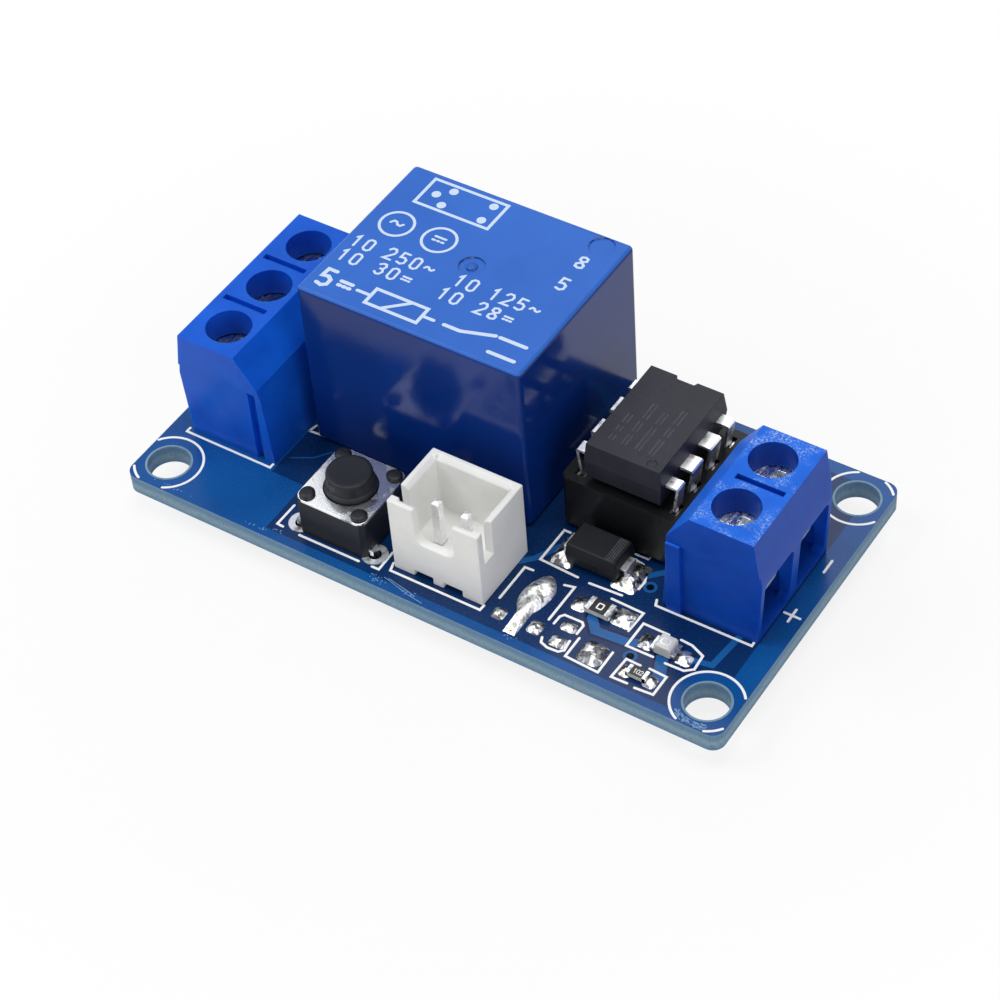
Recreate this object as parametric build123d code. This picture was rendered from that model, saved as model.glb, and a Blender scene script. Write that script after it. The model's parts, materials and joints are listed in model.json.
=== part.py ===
"""Relay module board: a small blue circuit board with a relay, two screw terminal blocks,
a push button, a two-pin socket header and a socketed eight-pin controller chip.

Frame: the origin is the centre of the four mounting holes on the board's underside.
+X runs along the board to the power terminal, +Y to the back edge, +Z up. Millimetres.
"""
from build123d import *
import math
import os

os.makedirs("parts", exist_ok=True)

# Circuit board
board_length = 51.0
board_width = 27.0
board_thickness = 1.6
board_corner_radius = 1.0
mount_spacing_x = 46.4
mount_spacing_y = 21.9
mount_hole_radius = 1.65
lead_tip_drop = 1.9
lead_hole_clearance = 0.12
via_radius = 0.3
via_places = [(16.56, -10.11), (14.53, -3.92)]

# Relay: outer size and the standard five-pin footprint
relay_x = -5.45
relay_y = 4.51
relay_length = 19.0
relay_width = 15.5
relay_height = 15.3
relay_wall = 0.7
relay_edge_radius = 0.4
relay_standoff = 0.3
relay_base_thickness = 1.6
relay_base_clearance = 0.05
relay_pin_end_inset = 2.4
relay_pin_side_inset = 1.75
relay_common_to_coil = 2.0
relay_foot_radius = 0.7
relay_foot_end_inset = 1.2
relay_foot_side_inset = 3.2
relay_gate_x = -0.44
relay_gate_y = -0.2
relay_mark_x = -7.53
relay_mark_y = -6.48
relay_mark_radius = 1.0
relay_mark_depth = 0.15
relay_gate_nub = 0.4
relay_gate_nub_drop = 0.03

# Relay mechanism
relay_head_room = 0.25
yoke_thickness = 1.2
yoke_width = 9.0
yoke_lift = 0.1
yoke_top_gap = 0.3
bobbin_clearance = 0.3
bobbin_flange = 0.8
bobbin_shelf_before = 1.0
bobbin_shelf_after = 1.4
bobbin_shelf_margin = 0.8
bobbin_tube_wall = 0.6
bobbin_size = 10.4
coil_radius = 4.8
coil_gap = 0.05
coil_pin_rise = 0.6
core_radius = 2.0
core_fit = 0.02
core_rivet_radius = 1.4
pole_radius = 3.2
pole_thickness = 0.7
armature_thickness = 1.0
armature_width = 8.0
armature_gap = 0.45
armature_swing_deg = 2.5
armature_overhang = 0.8
armature_rear = 0.45
armature_corner = 0.6
armature_rivet_radius = 0.5
armature_rivet_rise = 0.15
armature_rivet_offset = 1.1
blade_thickness = 0.2
blade_width = 4.4
blade_tip_width = 2.6
blade_start_gap = 1.2
blade_neck = 2.0
blade_tip_margin = 0.3
contact_radius = 1.0
contact_rim = 0.2
contact_rise = 0.4
contact_rivet_height = 0.25
contact_gap = 0.05
contact_strip = 0.4
contact_strip_width = 1.6
contact_pin_width = 1.0
coil_pin = 0.6
hinge_spring_gap = 0.3
hinge_spring_foot = 2.0
hinge_spring_reach = 0.7

# Screw terminal blocks: the profile runs from the wire side (0) to the rear side
pole_pitch = 5.08
block_height = 10.0
block_depth = 7.95
block_foot_inset = 0.35
block_top_front = 0.62
block_bevel_depth = 2.32
block_ridge_inset = 0.5
block_ridge_height = 7.5
block_hood_height = 5.9
block_end_margin = 0.1
block_floor = 0.4
screw_from_wire_side = 3.4
screw_hole_radius = 1.75
top_groove_start = 1.1
top_groove_end = 4.9
top_groove_width = 0.5
top_groove_depth = 0.5
wire_opening_width = 4.1
wire_opening_height = 5.7
wire_opening_corner = 0.4
end_panel_height = 6.9
end_panel_step = 0.15
key_from_rear = 1.25
key_width = 0.7
key_depth = 0.5
key_rise = 0.2
output_ways = 3
output_x = -24.0
output_y = 0.37
power_ways = 2
power_x = 24.0
power_y = 0.27

# Terminal screws and rising clamps
clamp_width = 4.0
clamp_length = 4.2
clamp_wall = 0.5
clamp_floor = 0.5
clamp_head = 1.0
clamp_clearance = 0.12
clamp_corner = 0.3
clamp_rest_gap = 0.15
clamp_tongue_gap = 0.05
clamp_travel = 1.8
screw_radius = 1.25
screw_thread_clearance = 0.06
screw_head_radius = 1.95
screw_head_height = 1.15
screw_head_clearance = 0.1
screw_cross_width = 0.55
screw_cross_length = 2.7
screw_cross_depth = 0.7
screw_tip_gap = 0.05
tongue_thickness = 0.6
tongue_width = 2.4
tongue_inset = 1.6
terminal_pin_width = 1.0
terminal_pin_lift = 0.2
terminal_pin_gap = 0.15
tongue_corner = 0.2
tongue_clearance = 0.03

# Push button
button_x = -7.6
button_y = -8.78
button_size = 6.0
button_body_height = 3.3
button_plate_thickness = 0.25
button_plate_corner = 0.75
button_plate_gap = 0.06
button_lift = 0.05
button_corner = 0.35
button_wall = 0.55
button_floor = 0.9
plunger_radius = 1.75
plunger_shoulder = 0.2
plunger_shoulder_height = 0.35
plunger_height = 5.05
plunger_flange_gap = 0.2
plunger_flange_thickness = 0.45
plunger_rim = 0.4
plunger_clearance = 0.1
plunger_dish_depth = 0.06
button_travel = 0.25
stake_inset = 0.725
stake_radius = 0.52
stake_root = 0.5
stake_rise = 0.3
stake_edge = 0.15
stake_fit = 0.02
dome_gap = 0.35
dome_rise = 0.55
dome_thickness = 0.12
dome_crown = 0.9
dome_under_plunger = 0.05
leg_outset = 0.25
leg_inset = 0.75
leg_width = 0.7
leg_thickness = 0.3
leg_shelf = 0.5
leg_root = 0.55
leg_fit = 0.02

# Two-pin shrouded header
header_x = 1.35
header_y = -8.3
header_length = 7.6
header_width = 6.0
header_height = 7.0
header_wall = 0.7
header_floor = 1.8
header_pitch = 2.5
header_pin = 0.64
header_pin_from_front = 2.45
header_pin_height = 6.0
header_window = 3.3
header_window_sill = 3.7
header_window_radius = 0.8
header_slot_width = 1.1
header_slot_depth = 3.2
header_lead_in = 0.35
header_notch_width = 1.6
header_notch_height = 0.6
header_notch_depth = 1.4
header_pin_point = 0.2
header_pin_fit = 0.01

# Eight-pin chip and its socket
chip_x = 10.9
chip_y = 3.3
chip_pins_per_side = 4
chip_pitch = 2.54
chip_row_spacing = 7.62
chip_body_length = 9.4
chip_body_width = 6.35
chip_thickness = 3.3
chip_draft_deg = 6.0
chip_standoff = 0.5
chip_notch_radius = 0.85
chip_notch_depth = 0.4
chip_dimple_radius = 0.35
chip_dimple_depth = 0.1
chip_dimple_side_inset = 1.1
chip_dimple_end_inset = 0.75
lead_root = 0.5
lead_shoulder_width = 1.5
lead_tail_width = 0.46
lead_thickness = 0.25
lead_bend_cut = 0.15
lead_tail_length = 2.6
lead_splay = 0.3
socket_length = 10.16
socket_width = 10.0
socket_height = 5.1
socket_foot = 0.5
socket_rail_width = 2.54
socket_bridge = 1.4
socket_corner = 0.4
socket_key_radius = 1.0
socket_key_depth = 0.5
socket_foot_margin = 0.4
socket_foot_width = 0.9
socket_foot_length = 0.6
socket_slot_length = 1.1
socket_slot_fit = 0.04
socket_floor_fit = 0.02
contact_leaf_drop = 0.3
contact_leaf = 0.2
contact_leaf_width = 0.9
contact_leaf_gap = 0.04
contact_leaf_height = 3.2
socket_tail_width = 0.5

# Surface-mount parts: centre, then size along the board
diode_x = 10.25
diode_y = -3.7
diode_length = 4.3
diode_width = 2.7
diode_height = 2.2
diode_lead_width = 1.4
diode_lead_length = 5.2
diode_lead_thickness = 0.2
diode_lead_lift = 0.1
diode_lead_root = 0.5
diode_lead_foot = 1.2
diode_waist = 0.45
diode_draft_deg = 7.0
resistor_length = 2.0
resistor_width = 1.25
resistor_thickness = 0.5
resistor_cap = 0.4
small_resistor_length = 1.6
small_resistor_width = 0.8
small_resistor_thickness = 0.45
small_resistor_cap = 0.3
resistor_cap_skin = 0.05
chip_part_lift = 0.08
resistor_places = [(12.65, -7.6), (17.95, -11.4)]
led_x = 18.45
led_y = -8.4
led_length = 2.0
led_width = 1.25
led_base_thickness = 0.4
led_lens_length = 1.3
led_lens_height = 0.45
led_lens_corner = 0.12
led_cap = 0.35
transistor_x = 10.9
transistor_y = 3.3
transistor_length = 2.9
transistor_width = 1.3
transistor_height = 1.0
transistor_lead_width = 0.42
transistor_lead_reach = 0.55
transistor_lead_thickness = 0.12
transistor_pitch = 1.9
transistor_lift = 0.1
transistor_waist = 0.45
transistor_draft_deg = 6.0
transistor_lead_root = 0.3
transistor_lead_shoulder = 0.12

# Solder under the board, and on top: place, then size along X and Y, then height
joint_height = 1.1
joint_rim = 0.08
joint_neck = 0.125
joint_foot = 0.6
joint_clearance = 0.01
wet_pad_height = 0.22
pad_width = 1.2
resistor_pad_gap = 0.35
resistor_pad_length = 0.68
led_pad_gap = 0.45
led_pad_length = 0.88
diode_pad_gap = 0.55
diode_pad_length = 1.0
diode_pad_width = 2.6
diode_pad_height = 0.35
pad_slope_deg = 35.0
round_blobs = [((7.9, -8.6), (2.2, 4.0), 0.5), ((14.2, -11.2), (1.9, 2.0), 0.3)]
bridge_stem = ((8.1, -11.55), (0.95, 1.9), 0.22)
small_pads = [(6.5, -11.3), (9.45, -11.15), (11.5, -9.95), (11.53, -11.5)]
small_pad_size = 1.0
small_pad_height = 0.15

# Small round details have this many sides: those that repeat, solder cones, blobs and moulding marks
few_sides = 8
cone_sides = 6
blob_sides = 12
round_sides = 16

top = board_thickness
tip_z = -board_thickness - lead_tip_drop


def block(x0, x1, y0, y1, z0, z1):
    """A box between opposite corners."""
    return Pos((x0 + x1) / 2, (y0 + y1) / 2, (z0 + z1) / 2) * Box(x1 - x0, y1 - y0, z1 - z0)


def drum(x, y, z0, z1, radius):
    """An upright cylinder."""
    return Pos(x, y, (z0 + z1) / 2) * Cylinder(radius, z1 - z0)


def spot(radius, sides=few_sides):
    """A small round outline with few sides, whose flats lie on the radius."""
    return RegularPolygon(radius, sides, major_radius=False)


def stud(x, y, z0, z1, radius, sides=few_sides):
    """A small upright peg with few sides."""
    return Pos(x, y, z0) * extrude(spot(radius, sides), amount=z1 - z0)


def tapered_stud(z0, z1, radius, slope_height, slope_width, sides=few_sides):
    """An upright peg with few sides whose z1 end slopes in."""
    peg = extrude(spot(radius, sides), amount=abs(z1 - z0))
    end = peg.faces().sort_by(Axis.Z)[-1]
    peg = chamfer(end.edges(), slope_width, slope_height, reference=end)
    if z1 < z0:
        peg = mirror(peg, about=Plane.XY)
    return Pos(0, 0, z0) * peg


def side_profile(points, half_width):
    """A closed outline of (x, z) points made solid across Y."""
    face = make_face(Polyline(*[(x, z) for x, z in points], close=True))
    return extrude(Plane.XZ * face, amount=half_width, both=True)


def end_profile(points, x0, x1):
    """A closed outline of (y, z) points made solid from x0 to x1."""
    face = make_face(Polyline(*[(y, z) for y, z in points], close=True))
    return Pos(x0, 0, 0) * extrude(Plane.YZ * face, amount=x1 - x0)


def turned(points):
    """A closed outline of (radius, z) points turned about the Z axis."""
    face = make_face(Polyline(*[(r, z) for r, z in points], close=True))
    return revolve(Plane.XZ * face, axis=Axis.Z)


def at(shape, places, z=0.0):
    """Copies of one shape at several (x, y) places."""
    return [Pos(x, y, z) * shape for x, y in places]


def save(name, solids):
    """Writes one named sub-part."""
    pieces = []
    for item in solids if isinstance(solids, list) else [solids]:
        pieces.extend(item.solids())
    shape = pieces[0] if len(pieces) == 1 else Compound(children=pieces)
    export_step(shape, "parts/" + name + ".step")


def seat(solids, x, y, z=top, turn=0):
    """Moves solids from their own frame to their place on the board."""
    place = Location((x, y, z), (0, 0, turn))
    return [place * item for item in (solids if isinstance(solids, list) else [solids])]


def placed(points, x, y, turn=0):
    """The board places of points given in a component's own frame."""
    sign = -1 if turn == 180 else 1
    return [(x + sign * px, y + sign * py) for px, py in points]


# Lead places in each component's own frame
common_x = relay_pin_end_inset - relay_length / 2
coil_pin_x = common_x + relay_common_to_coil
contact_x = relay_length / 2 - relay_pin_end_inset
row = relay_width / 2 - relay_pin_side_inset
relay_leads = [(common_x, 0), (coil_pin_x, row), (coil_pin_x, -row), (contact_x, row), (contact_x, -row)]
strip_x = screw_from_wire_side + clamp_length / 2 + clamp_clearance + terminal_pin_gap + tongue_thickness / 2
header_leads = [(-header_pitch / 2, 0), (header_pitch / 2, 0)]
leg_x = button_size / 2 + leg_outset
leg_y = button_size / 2 - leg_inset
button_leads = [(sx * leg_x, sy * leg_y) for sx in (-1, 1) for sy in (-1, 1)]
chip_rows = [(i - (chip_pins_per_side - 1) / 2) * chip_pitch for i in range(chip_pins_per_side)]
chip_leads = [(sx * chip_row_spacing / 2, y) for sx in (-1, 1) for y in chip_rows]
header_pin_y = header_y - header_width / 2 + header_pin_from_front


def pole_rows(ways):
    return [(i - (ways - 1) / 2) * pole_pitch for i in range(ways)]


# Each drilled lead: place, then the lead's size along X and Y
drilled = []
drilled += [(p, (yoke_thickness, contact_pin_width)) for p in placed(relay_leads[:1], relay_x, relay_y, 180)]
drilled += [(p, (coil_pin, coil_pin)) for p in placed(relay_leads[1:3], relay_x, relay_y, 180)]
drilled += [(p, (contact_pin_width, contact_strip)) for p in placed(relay_leads[3:], relay_x, relay_y, 180)]
drilled += [((output_x + strip_x, output_y + y), (tongue_thickness, terminal_pin_width))
            for y in pole_rows(output_ways)]
drilled += [((power_x - strip_x, power_y + y), (tongue_thickness, terminal_pin_width))
            for y in pole_rows(power_ways)]
drilled += [(p, (header_pin, header_pin)) for p in placed(header_leads, header_x, header_pin_y)]
drilled += [(p, (leg_thickness, leg_width)) for p in placed(button_leads, button_x, button_y)]
drilled += [(p, (lead_thickness, socket_tail_width)) for p in placed(chip_leads, chip_x, chip_y)]


def circuit_board():
    """The glass-fibre board with its mounting holes, lead holes and vias."""
    outline = RectangleRounded(board_length, board_width, board_corner_radius)
    mounts = GridLocations(mount_spacing_x, mount_spacing_y, 2, 2) * Circle(mount_hole_radius)
    face = outline - mounts
    for (x, y), (size_x, size_y) in drilled:
        face -= Pos(x, y) * spot(math.hypot(size_x, size_y) / 2 + lead_hole_clearance)
    for x, y in via_places:
        face -= Pos(x, y) * spot(via_radius)
    save("circuit_board", extrude(face, amount=board_thickness))


def relay_housing():
    """The moulded cover with its gate and ejector marks, and the base that closes it."""
    bottom = relay_standoff
    half_x = relay_length / 2
    half_y = relay_width / 2
    cover = block(-half_x, half_x, -half_y, half_y, bottom, relay_height)
    rounded = cover.edges().filter_by(Axis.Z) + cover.edges().group_by(Axis.Z)[-1]
    cover = fillet(rounded, relay_edge_radius)
    inner_x = half_x - relay_wall
    inner_y = half_y - relay_wall
    cover -= block(-inner_x, inner_x, -inner_y, inner_y, bottom, relay_height - relay_wall)
    for x, y in [(relay_gate_x, relay_gate_y), (relay_mark_x, relay_mark_y)]:
        cover -= stud(x, y, relay_height - relay_mark_depth, relay_height, relay_mark_radius, round_sides)
    nub = stud(relay_gate_x, relay_gate_y, relay_height - relay_mark_depth,
               relay_height - relay_gate_nub_drop, relay_gate_nub)
    save("relay_cover", seat(cover + nub, relay_x, relay_y, turn=180))

    base_x = inner_x - relay_base_clearance
    base_y = inner_y - relay_base_clearance
    base = block(-base_x, base_x, -base_y, base_y, bottom, bottom + relay_base_thickness)
    for sx in (-1, 1):
        for sy in (-1, 1):
            base += stud(sx * (base_x - relay_foot_end_inset), sy * (base_y - relay_foot_side_inset), 0,
                         bottom, relay_foot_radius)
    sizes = [(yoke_thickness, contact_pin_width)] + [(coil_pin, coil_pin)] * 2
    sizes += [(contact_pin_width, contact_strip)] * 2
    for (x, y), (size_x, size_y) in zip(relay_leads, sizes):
        gap = relay_base_clearance
        base -= block(x - size_x / 2 - gap, x + size_x / 2 + gap, y - size_y / 2 - gap,
                      y + size_y / 2 + gap, 0, bottom + relay_base_thickness)
    save("relay_base", seat(base, relay_x, relay_y, turn=180))


# Heights inside the relay, above the board's top face
yoke_z = relay_standoff + relay_base_thickness + yoke_lift
bobbin_z = yoke_z + yoke_thickness
contact_stack = blade_thickness + contact_rise + contact_gap + contact_rivet_height + contact_strip
blade_z = relay_height - relay_wall - relay_head_room - contact_stack
armature_z = blade_z - armature_thickness
pole_top = armature_z - armature_gap
pole_z = pole_top - pole_thickness
yoke_top = armature_z - yoke_top_gap
coil_x = common_x + yoke_thickness / 2 + bobbin_clearance + bobbin_size / 2
hinge_x = common_x
hinge_z = (yoke_top + armature_z) / 2
swing_drop = (contact_x - hinge_x) * math.sin(math.radians(armature_swing_deg))


def relay_magnet():
    """Coil on its bobbin, the core through it, and the bent yoke that carries the armature."""
    cx = coil_x
    tube = core_radius + bobbin_tube_wall
    half = bobbin_size / 2
    bobbin = block(cx - half, cx + half, -half, half, bobbin_z, bobbin_z + bobbin_flange)
    shelf = row + bobbin_shelf_margin
    bobbin += block(coil_pin_x - bobbin_shelf_before, coil_pin_x + bobbin_shelf_after, -shelf, shelf,
                    bobbin_z, bobbin_z + bobbin_flange)
    bobbin += block(cx - half, cx + half, -half, half, pole_z - bobbin_flange, pole_z)
    bobbin += drum(cx, 0, bobbin_z, pole_z, tube)
    bobbin -= drum(cx, 0, bobbin_z, pole_z, core_radius + core_fit)
    for y in (-row, row):
        bobbin -= block(coil_pin_x - coil_pin / 2, coil_pin_x + coil_pin / 2, y - coil_pin / 2,
                        y + coil_pin / 2, bobbin_z, bobbin_z + bobbin_flange)
    save("relay_bobbin", seat(bobbin, relay_x, relay_y, turn=180))

    low = bobbin_z + bobbin_flange + coil_gap
    high = pole_z - bobbin_flange - coil_gap
    coil = drum(cx, 0, low, high, coil_radius) - drum(cx, 0, low, high, tube + coil_gap)
    save("relay_coil", seat(coil, relay_x, relay_y, turn=180))

    core = turned([(0, yoke_z), (core_rivet_radius, yoke_z), (core_rivet_radius, bobbin_z),
                   (core_radius, bobbin_z), (core_radius, pole_z), (pole_radius, pole_z),
                   (pole_radius, pole_top), (0, pole_top)])
    save("relay_core", seat(Pos(cx, 0, 0) * core, relay_x, relay_y, turn=180))

    back = common_x - yoke_thickness / 2
    front = cx + pole_radius
    yoke = side_profile([(back, yoke_z), (front, yoke_z), (front, bobbin_z),
                         (back + yoke_thickness, bobbin_z), (back + yoke_thickness, yoke_top),
                         (back, yoke_top)], yoke_width / 2)
    yoke -= drum(cx, 0, yoke_z, bobbin_z, core_rivet_radius + core_fit)
    save("relay_yoke", seat(yoke, relay_x, relay_y, turn=180))

    pin = block(common_x - yoke_thickness / 2, common_x + yoke_thickness / 2, -contact_pin_width / 2,
                contact_pin_width / 2, tip_z, yoke_z)
    save("relay_common_pin", seat(pin, relay_x, relay_y, turn=180))

    pins = [block(coil_pin_x - coil_pin / 2, coil_pin_x + coil_pin / 2, y - coil_pin / 2,
                  y + coil_pin / 2, tip_z, bobbin_z + bobbin_flange + coil_pin_rise) for y in (-row, row)]
    save("relay_coil_pins", seat(pins, relay_x, relay_y, turn=180))

    leaf_low = blade_z + hinge_spring_gap
    leaf_high = leaf_low + blade_thickness
    leaf_end = hinge_x + hinge_spring_reach
    foot = yoke_z + hinge_spring_foot
    outer = back - blade_thickness
    spring = side_profile([(outer, foot), (back, foot), (back, leaf_low), (leaf_end, leaf_low),
                           (leaf_end, leaf_high), (outer, leaf_high)], blade_width / 2)
    save("relay_hinge_spring", seat(spring, relay_x, relay_y, turn=180))


def relay_contacts():
    """Armature with its contact blade, and the two fixed contacts on their bent strips."""
    tip = coil_x + pole_radius + armature_overhang
    rear = hinge_x - armature_rear
    armature = block(rear, tip, -armature_width / 2, armature_width / 2, armature_z, blade_z)
    armature = chamfer(armature.edges().filter_by(Axis.Z), armature_corner)
    rivets = [(coil_x, armature_rivet_offset), (coil_x, -armature_rivet_offset)]
    rivet_top = blade_z + blade_thickness + armature_rivet_rise
    for x, y in rivets:
        armature += stud(x, y, blade_z, rivet_top, armature_rivet_radius)
    save("relay_armature", seat(armature, relay_x, relay_y, turn=180))

    blade_start = hinge_x + blade_start_gap
    blade_end = contact_x + contact_radius + blade_tip_margin
    neck = contact_x - blade_neck
    half_tip = blade_tip_width / 2
    half = blade_width / 2
    outline = make_face(Polyline((blade_start, -half), (tip, -half), (neck, -half_tip),
                                 (blade_end, -half_tip), (blade_end, half_tip), (neck, half_tip),
                                 (tip, half), (blade_start, half), close=True))
    for x, y in rivets:
        outline -= Pos(x, y) * spot(armature_rivet_radius + core_fit)
    blade = Pos(0, 0, blade_z) * extrude(outline, amount=blade_thickness)
    button_low = blade_z - contact_rise
    button_high = blade_z + blade_thickness + contact_rise
    blade += stud(contact_x, 0, button_low, button_high, contact_radius)
    save("relay_contact_blade", seat(blade, relay_x, relay_y, turn=180))

    upper_face = button_high + contact_gap
    lower_face = button_low - swing_drop - contact_gap
    near = row - contact_strip / 2
    far = row + contact_strip / 2
    for name, side, face, sign in (("relay_normally_closed_contact", 1, upper_face, 1),
                                   ("relay_normally_open_contact", -1, lower_face, -1)):
        arm_near = face + sign * contact_rivet_height
        arm_far = arm_near + sign * contact_strip
        low, high = min(arm_near, arm_far), max(arm_near, arm_far)
        points = [(near, relay_standoff), (far, relay_standoff), (far, high), (-contact_radius, high),
                  (-contact_radius, low), (near, low)]
        strip = end_profile([(side * y, z) for y, z in points], contact_x - contact_strip_width / 2,
                            contact_x + contact_strip_width / 2)
        strip -= block(contact_x - contact_strip_width, contact_x + contact_strip_width, -2 * far, 2 * far,
                       0, relay_standoff + relay_base_thickness + relay_base_clearance)
        strip += block(contact_x - contact_pin_width / 2, contact_x + contact_pin_width / 2,
                       min(side * near, side * far), max(side * near, side * far), tip_z, high)
        strip += stud(contact_x, 0, min(face, arm_near), max(face, arm_near), contact_radius - contact_rim)
        save(name, seat(strip, relay_x, relay_y, turn=180))


# Heights inside a terminal block, above the board's top face
clamp_low = block_floor + clamp_rest_gap
tongue_low = clamp_low + clamp_travel + clamp_floor + clamp_tongue_gap
tongue_high = tongue_low + tongue_thickness
screw_tip = tongue_high + screw_tip_gap
clamp_rest = clamp_low + clamp_travel
clamp_top = screw_tip + clamp_head + clamp_travel
head_low = clamp_top + screw_head_clearance
head_high = head_low + screw_head_height
cavity_top = head_high + screw_head_clearance


def terminal_housing(ways):
    """One moulded housing: hooded wire openings, a cell for each clamp, and end keys."""
    rows = pole_rows(ways)
    half = ways * pole_pitch / 2 + block_end_margin
    ridge = block_depth - block_ridge_inset
    profile = [(block_foot_inset, 0), (block_depth, 0), (ridge, block_ridge_height),
               (block_depth - block_bevel_depth, block_height), (block_top_front, block_height),
               (0, block_hood_height)]
    housing = side_profile(profile, half)
    for side in (-1, 1):
        housing -= block(-1, block_depth + 1, min(side * half, side * (half - end_panel_step)),
                         max(side * half, side * (half - end_panel_step)), 0, end_panel_height)
    key_x = block_depth - key_from_rear
    housing -= block(key_x - key_width / 2, key_x + key_width / 2, -half, -half + end_panel_step + key_depth,
                     0, end_panel_height)
    housing += block(key_x - key_width / 2, ridge, half - end_panel_step - 0.01, half + key_rise, 0,
                     end_panel_height)
    cell_x = clamp_length / 2 + clamp_clearance
    cell_y = clamp_width / 2 + clamp_clearance
    for y in rows:
        housing -= block(screw_from_wire_side - cell_x, screw_from_wire_side + cell_x, y - cell_y, y + cell_y,
                         block_floor, cavity_top)
        opening = block(-1, screw_from_wire_side - cell_x + 0.01, y - wire_opening_width / 2,
                        y + wire_opening_width / 2, block_floor, wire_opening_height)
        housing -= chamfer(opening.edges().filter_by(Axis.X), wire_opening_corner)
        housing -= drum(screw_from_wire_side, y, cavity_top, block_height, screw_hole_radius)
        slot_y = tongue_width / 2 + tongue_clearance
        slot_x = strip_x + tongue_thickness / 2 + tongue_clearance
        housing -= block(screw_from_wire_side + cell_x - 0.01, slot_x, y - slot_y, y + slot_y, 0,
                         tongue_high + tongue_clearance)
    for i in range(ways - 1):
        y = (rows[i] + rows[i + 1]) / 2
        housing -= block(top_groove_start, top_groove_end, y - top_groove_width / 2, y + top_groove_width / 2,
                         block_height - top_groove_depth, block_height)
    return housing


def terminal_strip():
    """A solder pin bent over at the top into the tongue that the clamp pulls the wire against."""
    inner = strip_x - tongue_thickness / 2
    outer = strip_x + tongue_thickness / 2
    foot = terminal_pin_lift
    corner = tongue_corner
    strip = side_profile([(tongue_inset, tongue_low), (inner, tongue_low), (inner, foot), (outer, foot),
                          (outer, tongue_high - corner), (outer - corner, tongue_high),
                          (tongue_inset, tongue_high)], tongue_width / 2)
    return strip + block(inner, outer, -terminal_pin_width / 2, terminal_pin_width / 2, tip_z, tongue_low)


def clamp_cage():
    """The rising clamp: a square frame whose thick top holds the screw thread."""
    outer = chamfer(Rectangle(clamp_width, clamp_top - clamp_rest).vertices(), clamp_corner)
    window_height = clamp_top - clamp_rest - clamp_floor - clamp_head
    window = Pos(0, (clamp_floor - clamp_head) / 2) * Rectangle(clamp_width - 2 * clamp_wall, window_height)
    frame = extrude(Plane.YZ * (outer - window), amount=clamp_length / 2, both=True)
    frame = Pos(0, 0, (clamp_rest + clamp_top) / 2) * frame
    return frame - drum(0, 0, clamp_top - clamp_head, clamp_top, screw_radius + screw_thread_clearance)


def terminal_screw():
    """A cheese-head screw with a cross recess."""
    screw = turned([(0, screw_tip), (screw_radius, screw_tip), (screw_radius, head_low),
                    (screw_head_radius, head_low), (screw_head_radius, head_high), (0, head_high)])
    for turn in (0, 90):
        arm = block(-screw_cross_length / 2, screw_cross_length / 2, -screw_cross_width / 2,
                    screw_cross_width / 2, head_high - screw_cross_depth, head_high)
        screw -= Rot(0, 0, turn) * arm
    return screw


def terminal_block(name, ways, x, y, turn):
    """A whole block on the board: housing, solder strips, screws and clamps."""
    rows = pole_rows(ways)
    if turn == 180:
        rows.reverse()
    save(name + "_terminal_housing", seat(terminal_housing(ways), x, y, turn=turn))
    save(name + "_terminal_pins", seat([Pos(0, r, 0) * terminal_strip() for r in rows], x, y, turn=turn))
    for number, r in enumerate(rows, start=1):
        for part, shape in (("screw", terminal_screw()), ("clamp", clamp_cage())):
            moved = Pos(screw_from_wire_side, r, 0) * shape
            save(f"{name}_{part}_{number}", seat(moved, x, y, turn=turn))


# Heights inside the push button, above the board's top face
plate_low = button_body_height
plate_high = plate_low + button_plate_thickness
flange_high = plate_low - button_plate_gap
flange_low = flange_high - plunger_flange_thickness
dome_top = flange_low - button_travel - dome_under_plunger


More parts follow.
